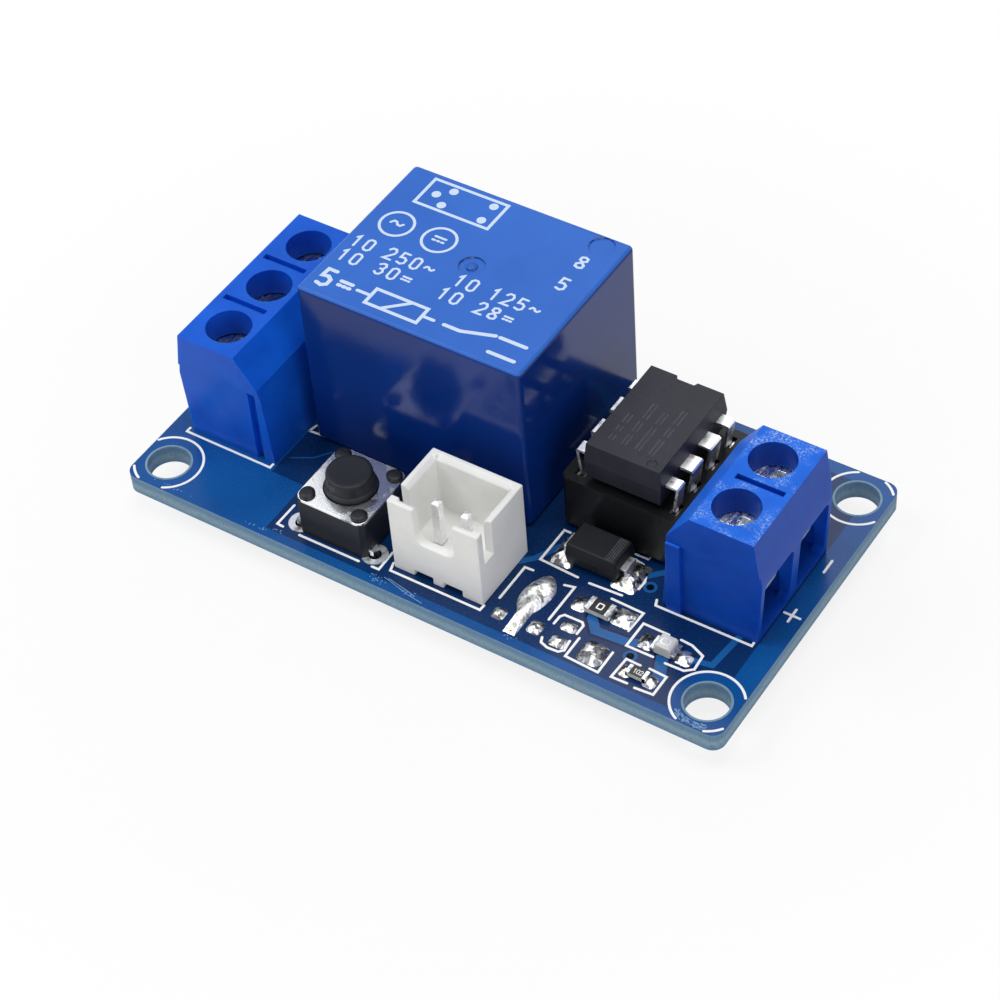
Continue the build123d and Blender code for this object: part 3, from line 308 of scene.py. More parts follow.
# Resistors: a glossy black glaze over matt white ceramic
RESISTOR_GLAZE = moulded("black_resistor_glaze", "#15161a", "#0f1013", gloss=0.3, specular=0.4, grain=0.15,
                         depth=0.004, flow=0.6)
ALUMINA = moulded("white_alumina", "#d9d8d0", "#c6c6be", gloss=0.6, grain=0.06, depth=0.004, flow=0.5)
# Inside the relay: cream nylon of the bobbin, plain blue polyester of the base
BOBBIN = moulded("natural_bobbin_nylon", "#d8d2bd", "#cbc4ad", gloss=0.4, specular=0.35, grain=0.12,
                 depth=0.004, soft=0.2, glow=MILKY)
RELAY_BASE = moulded("blue_relay_base_polyester", "#1a459c", "#163c8c", gloss=0.35, specular=0.35,
                     grain=0.12, depth=0.004, flow=2.5)
# Metals: dipped and levelled tin are bright and soft-edged, plain tin plate is greyer and stained
TIN = metal("bright_tin_plate", "#d9dbdd", "#9fa4a9", gloss=0.25, grain=0.25, depth=0.008, stain="#6f7276")
LEAD_TIN = metal("dipped_tin_leads", "#fafafb", "#eceef1", gloss=0.34, grain=0.8, depth=0.0004)
PAD_TIN = metal("levelled_tin_pads", "#eef0f2", "#b9bec4", gloss=0.45, depth=0.02, stain="#6b6a68")
# The same zinc-plated screws in two painted tones: the two-way block's are painted near white as painted
# light in their deep holes, and burred by a driver; the three-way block's are painted darker and bluer, shade
# and stain alike, as painted shade
ZINC_PAINTED_BRIGHT = metal("zinc_screw_steel_painted_bright", "#ffffff", "#e6eef2", gloss=0.3, grain=0.35, depth=0.18,
             streak=(1, 0.3, 1), spread=0.5, stain="#8b9aa3")
ZINC_PAINTED_SHADE = metal("zinc_screw_steel_painted_shade", "#cfd9e0", "#5c6f8c", gloss=0.25, depth=0.05,
                  streak=(1, 0.4, 1), spread=0.6, stain="#33486b")
CLAMP_STEEL = metal("nickel_plated_clamp", "#f0f1f2", "#d2d5d8", gloss=0.45, streak=(1, 4, 1))
PLATE_STEEL = metal("stamped_stainless_cover", "#f6f8fa", "#dfe3e8", gloss=0.15, grain=0.2, depth=0.006,
                    streak=(4, 1, 1), stain="#8c9095")
IRON = metal("galvanised_soft_iron", "#a7abae", "#7d8184", gloss=0.38, grain=0.4, depth=0.02)
BRONZE = metal("copper_spring_alloy", "#c98a5a", "#a86c42", gloss=0.28, grain=0.25, streak=(1, 5, 1))
# Solder: run bright at the small parts, painted mostly in dark reflections on the round pad, smooth on the
# blob, dull below
SOLDER = frosted_solder("bright_solder", 0.2, shine=0.1)
DARK_REFLECTION_SOLDER = frosted_solder("solder_painted_dark_reflections", 0.22, shine=-0.8, facet_size=0.8)
BLOB_SOLDER = frosted_solder("reflowed_solder_blob", 0.3, shine=1.3, facet_size=0.9)
DULL_SOLDER = frosted_solder("dull_solder", 0.3, shine=0.6)
WINDING = enamelled_winding()
LENS = lamp_epoxy()


# Meshes

def sheet_faces(rows, columns):
    """Corner numbers of a grid's four-sided faces, row by row, its last column joined to its first."""
    column = np.arange(columns)
    row = np.arange(rows - 1)[:, None]
    near = row * columns + column
    side = row * columns + (column + 1) % columns
    return np.stack([near, side, side + columns, near + columns], axis=-1).reshape(-1, 4)


def hoops(centre, radius, height):
    """Rings about the upright line through centre, joined in turn. radius has a row for each ring and a
    column for each angle, and height is a column."""
    angle = np.arange(radius.shape[1]) * TAU / radius.shape[1]
    points = np.stack([centre[0] + radius * np.cos(angle), centre[1] + radius * np.sin(angle),
                       np.broadcast_to(height, radius.shape)], axis=-1)
    return points.reshape(-1, 3), sheet_faces(*radius.shape)


def spun(profile, centre, around=32, ripple=0.0, phase=0.0):
    """A profile of (radius, height) points turned about the upright line through centre. The radius is
    stretched by one plus ripple times a slow sine of the angle, which makes hand-made solder uneven."""
    profile = np.asarray(profile, float)
    angle = np.arange(around) * TAU / around
    wave = 1 + ripple * (np.sin(angle * 2 + phase) + 0.6 * np.sin(angle * 3 + 2.3 * phase))
    return hoops(centre, profile[:, 0:1] * wave, profile[:, 1:2])


def mound(outline, low, height, power=2.0, rows=9, uneven=0.0, phase=0.0):
    """A low heap over a closed outline. Each row is the outline drawn in by a share s towards its
    middle, at height times one less s to that power, uneven along a sine of its place; closed below."""
    outline = np.asarray(outline, float)
    middle = outline.mean(axis=0)
    share = np.cos(np.linspace(0, math.pi / 2, rows))[:, None]
    spread = np.vstack([[[0.0]], share])
    points = middle + (outline - middle)[None] * spread[..., None]
    rise = np.vstack([[[0.0]], 1 - share ** power])
    bumps = 1 + uneven * np.sin(points[..., 0] * 3.1 + phase) * np.cos(points[..., 1] * 2.7 + phase)
    heights = low + height * rise * bumps
    grid = np.concatenate([points, heights[..., None]], axis=-1)
    return grid.reshape(-1, 3), sheet_faces(rows + 1, len(outline))


def rounded_box(x, y, length, width, corner, count=40):
    """Outline of a rectangle with round corners: each quarter turn of the angle goes round one."""
    angle = (np.arange(count) + 0.5) * TAU / count
    cosine, sine = np.cos(angle), np.sin(angle)
    return np.stack([x + np.sign(cosine) * (length / 2 - corner) + corner * cosine,
                     y + np.sign(sine) * (width / 2 - corner) + corner * sine], axis=-1)


def unit(runs):
    """The same directions at a length of one."""
    return runs / np.linalg.norm(runs, axis=-1, keepdims=True)


def ribbon(path, width, low, high, closed=False, soft_ends=True):
    """A flat printed line: a rectangle, width across and low to high, carried along a path of (x, y)
    points. At each point it is turned half-way between its two runs and widened to keep its width. A
    path that comes back to its start is closed."""
    path = np.asarray(path, float)
    if len(path) > 3 and np.allclose(path[0], path[-1]):
        path, closed = path[:-1], True
    half = np.full(len(path), width / 2)
    if soft_ends and not closed:
        ends = path[[0, -1]] + unit(path[[0, -1]] - path[[1, -2]]) * width * 0.35
        path = np.vstack([ends[0], path, ends[1]])
        half = np.pad(half, 1, constant_values=width * 0.22)
    after = np.roll(path, -1, axis=0) - path
    before = path - np.roll(path, 1, axis=0)
    if not closed:
        after[-1] = before[-1]
        before[0] = after[0]
    after, before = unit(after), unit(before)
    left = unit(np.stack([-after[:, 1] - before[:, 1], after[:, 0] + before[:, 0]], axis=-1))
    square = np.clip((left * np.stack([-after[:, 1], after[:, 0]], axis=-1)).sum(axis=1), 0.4, 1)
    offset = left * (half / square)[:, None]
    corners = [(path + offset, low), (path - offset, low), (path - offset, high), (path + offset, high)]
    rows = [np.concatenate([flat, np.full((len(path), 1), level)], axis=1) for flat, level in corners]
    points = np.stack(rows, axis=1).reshape(-1, 3)
    # A closed line's last faces come round to its first corners
    faces = sheet_faces(len(path) + closed, 4) % len(points)
    if not closed:
        faces = np.vstack([faces, [3, 2, 1, 0], np.arange(4) + len(points) - 4])
    return points, faces


def arc(x, y, radius, start, end, count=16):
    """Points of a circle's arc from start to end, in degrees."""
    angle = np.radians(np.linspace(start, end, count))
    return np.stack([x + radius * np.cos(angle), y + radius * np.sin(angle)], axis=-1)


def flat_ring(x, y, inner, outer, low, high, count=32):
    """A washer: four circles, inner and outer at low and high, joined in turn."""
    profile = [(inner, high), (inner, low), (outer, low), (outer, high), (inner, high)]
    return spun(profile, (x, y), count)


def stacked(lines, low, high, step=0.001):
    """Ribbons along (path, width) pairs. Each is a step higher than the one before, so that where two
    cross they share no face."""
    return [ribbon(path, width, low, high + step * k) for k, (path, width) in enumerate(lines)]


def joined(parts):
    """Several meshes as one: the faces of each are numbered on from the points before them."""
    points, faces, before = [], [], 0
    for some_points, some_faces in parts:
        points.append(some_points)
        faces.append(np.asarray(some_faces) + before)
        before += len(some_points)
    return np.vstack(points), np.vstack(faces)


def put(name, data):
    """A new object in the scene."""
    thing = bpy.data.objects.new(name, data)
    bpy.context.scene.collection.objects.link(thing)
    return thing


def make(name, mesh_data, finish, body="board", smooth=35):
    """A finished piece in the board's place from points in millimetres and faces. Its doubles are
    merged, its normals turned outwards, and edges sharper than smooth degrees stay sharp."""
    points, faces = mesh_data
    mesh = bpy.data.meshes.new(name)
    mesh.from_pydata((np.asarray(points) * MM).tolist(), [], np.asarray(faces).tolist())
    tidy = bmesh.new()
    tidy.from_mesh(mesh)
    bmesh.ops.remove_doubles(tidy, verts=tidy.verts, dist=0.0005 * MM)
    bmesh.ops.dissolve_degenerate(tidy, edges=tidy.edges, dist=0.0005 * MM)
    bmesh.ops.recalc_face_normals(tidy, faces=tidy.faces)
    tidy.to_mesh(mesh)
    tidy.free()
    mesh.materials.append(finish)
    mesh.shade_smooth()
    mesh.set_sharp_from_angle(angle=math.radians(smooth))
    piece = put(name, mesh)
    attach(piece, body)
    return piece


def dressed(node, finishes, edge=0.0, choose=None, keep=None, cuts=(), sharp=30):
    """A merged copy of a CAD node with rounded edges. edge is the radius in millimetres, choose gives
    each face its finish from its normal and middle, keep picks the faces that stay, and cuts are
    (axis, place) planes that split the faces where the finish changes."""
    source = frame["nodes"][node]
    piece = put(node + "_detail", source.data.copy())
    mesh = piece.data
    tidy = bmesh.new()
    tidy.from_mesh(mesh)
    bmesh.ops.remove_doubles(tidy, verts=tidy.verts, dist=0.001 * MM)
    if keep:
        gone = [face for face in tidy.faces if not keep(face.calc_center_median() / MM)]
        bmesh.ops.delete(tidy, geom=gone, context="FACES")
    bmesh.ops.dissolve_limit(tidy, angle_limit=math.radians(0.5), verts=tidy.verts, edges=tidy.edges)
    for axis, where in cuts:
        across = Vector((axis == "X", axis == "Y", axis == "Z"))
        bmesh.ops.bisect_plane(tidy, geom=[*tidy.verts, *tidy.edges, *tidy.faces],
                               plane_co=across * where * MM, plane_no=across)
    tidy.to_mesh(mesh)
    tidy.free()
    mesh.materials.clear()
    for finish in finishes:
        mesh.materials.append(finish)
    numbers = np.zeros(len(mesh.polygons), np.int32)
    if choose:
        normals = np.array([face.normal for face in mesh.polygons])
        middles = np.array([face.center for face in mesh.polygons]) / MM
        numbers = choose(normals, middles).astype(np.int32)
    mesh.polygons.foreach_set("material_index", numbers)
    mesh.shade_smooth()
    mesh.set_sharp_from_angle(angle=math.radians(sharp))
    if edge:
        rounding = piece.modifiers.new("edges", "BEVEL")
        rounding.width = edge * MM
        rounding.segments = 2
        rounding.limit_method = "ANGLE"
        rounding.angle_limit = math.radians(sharp)
        rounding.harden_normals = True
    evened = piece.modifiers.new("even_normals", "WEIGHTED_NORMAL")
    evened.keep_sharp = True
    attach(piece, body_of(source)[0])
    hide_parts(node)
    return piece


def paint(nodes, finish):
    """Gives CAD nodes that keep their own shape their finish."""
    for node in nodes:
        thing = frame["nodes"][node]
        for place in thing.material_slots:
            place.material = finish


# The circuit board: mask on both faces, laminate on the sawn edges, tin in the lead holes

MOUNT_X, MOUNT_Y, MOUNT_RADIUS = 23.2, 10.95, 1.65
MOUNTS = [(sx * MOUNT_X, sy * MOUNT_Y) for sx in (-1, 1) for sy in (-1, 1)]
HALF_LENGTH, HALF_WIDTH = 25.5, 13.5


def board_faces(normals, middles):
    """0 for mask on laminate, 3 for mask on the poured copper along the edges, 1 for bare laminate and
    2 for plated holes: by which way a wall faces and where it is."""
    x, y = middles[:, 0], middles[:, 1]
    wall = np.abs(normals[:, 2]) < 0.5
    bare = (np.abs(x) > HALF_LENGTH - 0.35) | (np.abs(y) > HALF_WIDTH - 0.35)
    for mount_x, mount_y in MOUNTS:
        bare |= np.hypot(x - mount_x, y - mount_y) < MOUNT_RADIUS + 0.2
    poured = (y < POUR_FRONT) | (y > POUR_BACK) | (x < POUR_LEFT) | (x > POUR_RIGHT)
    poured |= (x < POUR_CORNER[0]) & (y < POUR_CORNER[1])
    return np.where(wall, np.where(bare, 1, 2), np.where(poured, 3, 0))


# Copper poured along the board's edges, under the mask, shows as brighter blue
POUR_FRONT, POUR_BACK, POUR_LEFT, POUR_RIGHT = -12.75, 12.4, -15.9, 23.75
POUR_CORNER = (-12.9, -7.9)
dressed("circuit_board", [MASK, EDGE, TIN, MASK_ON_COPPER], choose=board_faces,
        cuts=[("Y", POUR_FRONT), ("Y", POUR_BACK), ("X", POUR_LEFT), ("X", POUR_RIGHT),
              ("X", POUR_CORNER[0]), ("Y", POUR_CORNER[1])])

# Bare laminate shows in a thin ring round each mounting hole, where the mask was held back
RIM_WIDTH, RIM_HEIGHT = 0.16, 0.012
make("mount_hole_rims",
     joined([flat_ring(x, y, MOUNT_RADIUS, MOUNT_RADIUS + RIM_WIDTH, z, z + RIM_HEIGHT, 48)
             for x, y in MOUNTS for z in (BOARD_TOP, BOARD_BOTTOM - RIM_HEIGHT)]),
     EDGE)

# Printed lines on the board: how far print reaches into the face below it, the lines' heights and
# width, and the radius of the mounting holes' rings
SINK = 0.005
INK_LOW, INK_HIGH = BOARD_TOP - SINK, BOARD_TOP + 0.03
LINE = 0.19
MOUNT_RING_RADIUS = 2.62


def inside_board(path, margin=0.13):
    """Cuts a path into the runs of points that lie on the board."""
    path = np.asarray(path)
    good = (np.abs(path[:, 0]) < HALF_LENGTH - margin) & (np.abs(path[:, 1]) < HALF_WIDTH - margin)
    runs = np.split(np.arange(len(path)), np.flatnonzero(np.diff(good.astype(int))) + 1)
    return [path[run] for run in runs if good[run[0]] and len(run) > 1]


def ink(path):
    """A printed line on the board's top."""
    return ribbon(path, LINE, INK_LOW, INK_HIGH)


board_lines = []
for x, y in MOUNTS:
    away = math.degrees(math.atan2(-y, -x))
    ring = arc(x, y, MOUNT_RING_RADIUS, away - 180, away + 180, 97)
    board_lines += [ink(run) for run in inside_board(ring)]

# Corner places read off the object's print, part by part
board_outlines = {
    "relay corner": [(-15.86, -3.03), (-13.45, -2.84)],
    "relay corner side": [(-15.86, -3.03), (-15.7, -2.3)],
    "button left": [(-12.33, -9.9), (-12.35, -12.04), (-11.8, -12.08)],
    "button front": [(-10.3, -12.17), (-5.0, -12.14)],
    "button right": [(-3.9, -12.1), (-3.3, -12.08), (-3.34, -10.2)],
    "header front": [(-2.72, -11.02), (-2.51, -11.75), (5.15, -11.72), (5.18, -11.2)],
    "output block": [(-24.0, -7.2), (-24.0, -7.65), (-16.2, -7.65), (-16.2, -7.2)],
    "power block": [(15.53, -4.70), (15.73, -5.21), (23.41, -5.13), (23.4, 5.44)],
    "diode left": [(6.86, -2.23), (6.32, -2.23), (6.31, -5.50), (9.58, -5.66)],
    "diode front": [(10.54, -5.73), (13.2, -5.58)],
    "diode back": [(11.98, -1.69), (13.05, -1.67), (13.11, -1.39)],
    "diode round end": [(12.2, -2.15), (13.0, -2.3), (13.62, -2.89), (13.95, -3.7), (13.9, -4.5)],
    "spare part left": [(6.45, -6.66), (5.75, -6.70), (5.75, -10.08)],
    "spare part right": [(9.09, -6.76), (9.87, -6.57), (9.87, -10.08)],
    "resistor": [(12.69, -6.2), (15.37, -6.27), (15.28, -8.22)],
    "small pads back": [(10.37, -10.21), (10.40, -9.42), (10.62, -9.14), (12.06, -9.11), (12.29, -9.35),
                        (12.28, -10.24)],
    "small pads front": [(10.32, -11.66), (10.5, -12.1), (11.12, -12.31), (12.0, -12.25), (12.31, -11.94),
                         (12.19, -11.0)],
    "round pad": [(12.64, -10.44), (12.64, -12.35), (15.37, -12.48), (15.35, -10.40)],
    "lamp left": [(17.95, -7.10), (15.85, -7.08), (15.84, -9.42), (17.99, -9.39)],
    "lamp right": [(18.87, -7.08), (19.82, -7.14), (20.93, -7.61), (21.02, -8.95), (20.45, -9.41),
                   (18.96, -9.47)],
    "small resistor left": [(17.64, -10.49), (16.47, -10.46), (16.37, -12.36), (17.65, -12.32)],
    "small resistor right": [(18.29, -10.42), (19.71, -10.49), (19.70, -12.30), (18.25, -12.41)],
    "chip left": [(5.75, 5.2), (5.75, 8.6), (8.4, 8.6)],
}
board_lines += [ink(path) for path in board_outlines.values()]

# Polarity signs beside the two wire entries
SIGN_X, PLUS_Y, MINUS_Y, HALF_SIGN = 24.5, -1.3, 4.0, 0.65
plus_bar = [(SIGN_X, PLUS_Y - HALF_SIGN), (SIGN_X, PLUS_Y + HALF_SIGN)]
plus_crossbar = [(SIGN_X - HALF_SIGN, PLUS_Y), (SIGN_X + HALF_SIGN, PLUS_Y)]
minus_bar = [(SIGN_X, MINUS_Y - HALF_SIGN), (SIGN_X, MINUS_Y + HALF_SIGN)]
board_lines += stacked([(bar, LINE) for bar in (plus_bar, plus_crossbar, minus_bar)], INK_LOW, INK_HIGH)
make("board_print", joined(board_lines), SILK)

# Copper tracks under the mask stand a little proud of the laminate, a gap on each side looks darker,
# and each lies a micrometre above the one before, so that none share a face
TRACK_LOW, TRACK_HIGH = BOARD_TOP - 0.01, BOARD_TOP + 0.009
top_tracks = [
    ([(12.35, -8.3), (13.25, -9.3), (15.8, -9.1), (16.9, -8.6)], 0.75),
    ([(18.5, -9.0), (18.9, -9.9), (19.3, -10.9)], 0.9),
    ([(-15.45, -6.04), (-13.92, -5.18), (-13.07, -4.06)], 0.14),
    ([(-4.35, -6.53), (-2.9, -6.0), (-1.2, -6.6), (0.1, -8.85)], 0.4),
    ([(2.6, -8.85), (5.9, -5.6), (6.9, -3.7)], 0.5),
    ([(14.71, -0.51), (14.9, -2.0), (13.2, -3.7)], 0.5),
    ([(19.9, -8.4), (21.9, -8.0), (22.3, -4.5), (21.6, -2.2)], 0.5),
    ([(4.9, 9.8), (7.0, 11.7), (17.9, 11.7), (20.2, 9.2), (18.0, 5.4)], 0.8),
    ([(7.09, 7.11), (5.6, 9.0), (5.6, 12.1), (-14.5, 12.1), (-15.4, 10.6)], 0.4),
]
TRACK_GAP = 0.2
track_gaps = [(path, width + 2 * TRACK_GAP) for path, width in top_tracks[:2]]
make("top_tracks", joined(stacked(top_tracks, TRACK_LOW, TRACK_HIGH)), MASK_ON_TRACK)
make("top_track_gaps", joined(stacked(track_gaps, TRACK_LOW, BOARD_TOP + 0.002, 0.0005)), MASK_GAP)


def mount_land(x, y, inner, outer, low, high, margin=0.1, count=64):
    """A washer of copper round a hole near the board's front right corner. Its outer radius is cut back
    to where the board ends: the way to an edge over the cosine, or the downward sine, of the angle."""
    angle = np.arange(count) * TAU / count
    to_right = (HALF_LENGTH - margin - x) / np.maximum(np.cos(angle), 0.01)
    to_front = (HALF_WIDTH - margin + y) / np.maximum(-np.sin(angle), 0.01)
    reach = np.minimum(outer, np.minimum(to_right, to_front))
    near = np.full(count, inner)
    heights = np.array([high, low, low, high, high])[:, None]
    return hoops((x, y), np.stack([near, near, reach, reach, near]), heights)


# Mask inside the ring of the power side's front mounting hole lies on copper too
land = mount_land(MOUNT_X, -MOUNT_Y, MOUNT_RADIUS + 0.18, 2.5, TRACK_LOW, BOARD_TOP + 0.006)
make("mount_copper", land, MASK_ON_COPPER)

# Scratches in the mask near the front edge: two long ones, and clusters of flecks, each with its
# middle, its spread along X and Y and its number of flecks; the last follow the mounting hole's ring
scratch_paths = [([(-2.5, -12.5), (-1.4, -12.75), (-0.2, -13.05), (1.2, -13.25)], 0.04),
                 ([(-2.2, -12.45), (-0.8, -12.7), (0.4, -12.95)], 0.04)]
generator = np.random.default_rng(7)
fleck_clusters = [(-13.0, -13.0, 0.6, 0.08, 14), (-11.9, -12.6, 0.3, 0.08, 8), (-21.4, -12.9, 0.8, 0.08, 10),
                  (-2.8, -12.9, 0.45, 0.18, 22), (0.1, -12.95, 0.5, 0.12, 12), (8.3, -12.85, 0.3, 0.12, 7)]
flecks = [(x, y, generator.uniform(0, 180), generator.uniform(0.015, 0.06))
          for middle_x, middle_y, wide, deep, count in fleck_clusters
          for x, y in generator.normal((middle_x, middle_y), (wide, deep), (count, 2))]
for turn in generator.uniform(228, 296, 70):
    x, y = arc(MOUNT_X, -MOUNT_Y, generator.uniform(2.0, 2.5), turn, turn, 1)[0]
    flecks.append((x, y, turn + 90 + generator.normal(0, 20), generator.uniform(0.04, 0.2)))
for x, y, tilt, reach in flecks:
    across = reach * np.array([math.cos(math.radians(tilt)), math.sin(math.radians(tilt))])
    if max(abs(y - across[1]), abs(y + across[1])) < HALF_WIDTH - 0.06:
        scratch_paths.append(([(x, y) - across, (x, y) + across], 0.045))
make("mask_scratches", joined(stacked(scratch_paths, TRACK_LOW, BOARD_TOP + 0.032, 0.0001)), SCRATCH)

# Tracks below the board, each a micrometre lower than the one before
bottom_tracks = [
    ([(-17.93, 5.45), (-12.55, 10.51)], 2.6), ([(-17.93, -4.71), (-12.55, -1.49)], 2.6),
    ([(-17.93, 0.37), (-8.0, 4.51), (1.65, 4.51)], 2.6),
    ([(-0.35, 10.51), (4.5, 11.6), (14.5, 11.4), (17.93, 2.81)], 1.0),
    ([(-0.35, -1.49), (4.8, -1.49), (7.09, -0.51)], 0.6),
    ([(17.93, -2.27), (14.8, -3.7), (14.53, -3.92), (9.5, -3.7)], 1.2),
    ([(16.56, -10.11), (12.0, -11.9), (2.6, -8.85)], 0.6),
    ([(0.1, -8.85), (-2.6, -11.6), (-7.6, -11.8), (-10.85, -11.03)], 0.5),
    ([(-4.35, -6.53), (-1.0, -5.2), (6.5, -3.2), (8.6, -2.2), (11.5, 0.8), (14.71, 2.03)], 0.5),
    ([(7.09, 2.03), (5.1, 3.2), (5.1, 8.2), (7.09, 7.11)], 0.4),
    ([(14.71, 4.57), (12.9, 3.3), (9.0, 3.3), (7.09, 4.57)], 0.4),
    ([(17.93, 2.81), (16.6, 5.2), (14.71, 7.11)], 0.8),
]
make("bottom_tracks", joined(stacked(bottom_tracks, BOARD_BOTTOM + 0.01, BOARD_BOTTOM - 0.012, -0.001)),
     MASK_ON_COPPER)

# Leads: place and half diagonal of each, as the drilled holes have them
POLES_OUTPUT = (-4.71, 0.37, 5.45)
POLES_POWER = (-2.27, 2.81)
CHIP_ROWS = [3.3 + offset for offset in (-3.81, -1.27, 1.27, 3.81)]
LEADS = [(1.65, 4.51, 0.78), (-0.35, -1.49, 0.42), (-0.35, 10.51, 0.42), (-12.55, -1.49, 0.54),
         (-12.55, 10.51, 0.54)]
LEADS += [(-17.93, y, 0.58) for y in POLES_OUTPUT] + [(17.93, y, 0.58) for y in POLES_POWER]
LEADS += [(x, -8.85, 0.45) for x in (0.1, 2.6)]
BUTTON = (-7.6, -8.78)
LEADS += [(BUTTON[0] + sx * 3.25, BUTTON[1] + sy * 2.25, 0.38) for sx in (-1, 1) for sy in (-1, 1)]
LEADS += [(x, y, 0.28) for x in (7.09, 14.71) for y in CHIP_ROWS]

# Tinned pads round the leads on top, seen beside the button; the vias' rings are under the mask
VIAS = [(16.56, -10.11), (14.53, -3.92)]
VIA_HEIGHT = 0.02
top_pads = [flat_ring(x, y, half + 0.12, half + 0.62, BOARD_TOP - SINK, BOARD_TOP + 0.06)
            for x, y, half in LEADS]
via_rings = [flat_ring(x, y, 0.3, 0.52, z, z + VIA_HEIGHT)
             for x, y in VIAS for z in (BOARD_TOP, BOARD_BOTTOM - VIA_HEIGHT)]
make("tinned_pads", joined(top_pads), PAD_TIN)
make("via_rings", joined(via_rings), MASK_ON_TRACK)


# Solder

def joint(x, y, half, number):
    """A solder fillet under the board: from a wide thin rim the radius falls as a hollow curve, a
    quarter turn of a circle seen from outside, to the lead's own size near its end."""
    rim, height = half + 0.68, 1.08
    turn = np.linspace(0, math.pi / 2, 9)
    radius = rim - (rim - half - 0.02) * np.sin(turn) ** 0.8
    fall = -height * (1 - np.cos(turn)) ** 1.15
    profile = [(0, 0), (rim, 0), *zip(radius, fall - 0.03), (0, -height - 0.03)]
    return spun(profile[::-1], (x, y), around=20, ripple=0.05, phase=number * 1.7)


fillets = make("solder_fillets", joined([joint(x, y, half, k) for k, (x, y, half) in enumerate(LEADS)]),
               DULL_SOLDER, smooth=60)
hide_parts("underside_solder")

# Fillets at the small parts: place, size along X and Y, height
END_PADS = [(12.85, -3.75, 2.0, 3.0, 0.55), (7.75, -3.95, 1.9, 2.8, 0.5),
            (14.45, -7.35, 1.75, 1.65, 0.26), (11.1, -7.7, 1.2, 1.35, 0.3),
            (16.95, -8.4, 1.25, 1.4, 0.28), (19.95, -8.4, 1.3, 1.35, 0.28),
            (17.0, -11.4, 0.95, 1.15, 0.24), (18.95, -11.4, 1.0, 1.2, 0.24)]
wet = [mound(rounded_box(x, y, length, width, 0.35), BOARD_TOP, height, power=1.6, uneven=0.25, phase=2.1 * k)
       for k, (x, y, length, width, height) in enumerate(END_PADS)]
SMALL_PADS = [(6.5, -11.3, 1.05, 1.1), (9.45, -11.15, 1.1, 1.25), (11.5, -9.95, 1.25, 0.9),
              (11.53, -11.5, 1.3, 1.0)]
wet += [mound(rounded_box(x, y, length, width, 0.3), BOARD_TOP, 0.24, power=2, uneven=0.3, phase=1.3 * k)
        for k, (x, y, length, width) in enumerate(SMALL_PADS)]
round_pad = rounded_box(14.2, -11.2, 2.0, 2.1, 0.6)
# The round pad's solder is painted mostly dark: painted dark reflections
make("round_pad_solder", mound(round_pad, BOARD_TOP, 0.34, power=2.2, rows=12, uneven=0.3, phase=2.0),
     DARK_REFLECTION_SOLDER, smooth=60)
# The long blob narrows into its bridge: one outline from the round end down to the square foot
turn = np.radians(np.linspace(-52, 232, 40))
blob_round = np.stack([7.92 + 1.1 * np.cos(turn) + 0.06 * np.sin(turn * 3),
                       -8.5 + 1.95 * np.sin(turn) + 0.06 * np.cos(turn * 4)], axis=-1)
blob_foot = [(7.62, -10.75), (7.6, -11.6), (7.6, -12.55), (8.55, -12.55), (8.57, -11.6), (8.55, -10.75)]
blob = mound(np.vstack([blob_round, blob_foot]), BOARD_TOP, 0.5, power=3.2, rows=16, uneven=0.25, phase=0.6)
pads_on_top = make("solder_on_top", joined(wet), SOLDER, smooth=60)
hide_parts("top_solder")
make("reflowed_blob", blob, BLOB_SOLDER, smooth=60)


# Relay: cover, its print, and the mechanism inside

# The cover's faces that look up near its top take the paler finish: a painted sheen on the relay's top
dressed("relay_cover", [RELAY_WALL, RELAY_SHEEN_TOP], sharp=50,
        choose=lambda normals, middles: (normals[:, 2] > 0.5) & (middles[:, 2] > 16))

# A changeover contact diagram, plain numbers and signs in pad-printed strokes. Each figure's strokes
# are given in shares of its height.
RELAY_TOP = 16.9
STROKES = {
    "0": [[(0.1, 0.15), (0.1, 0.85), (0.25, 1), (0.45, 1), (0.6, 0.85), (0.6, 0.15), (0.45, 0), (0.25, 0),
           (0.1, 0.15)]],
    "1": [[(0.2, 0.8), (0.4, 1), (0.4, 0)]],
    "2": [[(0.1, 0.8), (0.25, 1), (0.5, 1), (0.62, 0.8), (0.6, 0.6), (0.1, 0), (0.65, 0)]],
    "3": [[(0.1, 0.85), (0.3, 1), (0.5, 1), (0.6, 0.8), (0.5, 0.55), (0.3, 0.52)],
          [(0.5, 0.55), (0.62, 0.3), (0.5, 0.05), (0.3, 0), (0.1, 0.15)]],
    "5": [[(0.6, 1), (0.15, 1), (0.12, 0.55), (0.4, 0.6), (0.6, 0.45), (0.6, 0.15), (0.4, 0), (0.1, 0.08)]],
    "8": [[(0.35, 0.55), (0.12, 0.7), (0.15, 0.92), (0.35, 1), (0.55, 0.92), (0.58, 0.7), (0.35, 0.55)],
          [(0.35, 0.51), (0.1, 0.3), (0.12, 0.08), (0.35, 0), (0.58, 0.08), (0.6, 0.3), (0.35, 0.51)]],
    "~": [[(0.05, 0.42), (0.18, 0.6), (0.32, 0.58), (0.45, 0.42), (0.6, 0.4), (0.72, 0.56)]],
    "=": [[(0.08, 0.62), (0.7, 0.62)], [(0.08, 0.36), (0.22, 0.36)], [(0.33, 0.36), (0.46, 0.36)],
          [(0.57, 0.36), (0.7, 0.36)]],
}


def figures(text, x, y, height, width, step=0.82, level=RELAY_TOP):
    """Plain figures drawn with single strokes: each figure's strokes are scaled to height, the next one
    starts a step further, and a space moves on by most of a step."""
    marks = []
    for sign in text:
        strokes = [(np.array(stroke) * height + (x, y), width) for stroke in STROKES.get(sign, [])]
        marks += stacked(strokes, level - SINK, level + 0.007)
        x += height * step * (0.7 if sign == " " else 1)
    return marks


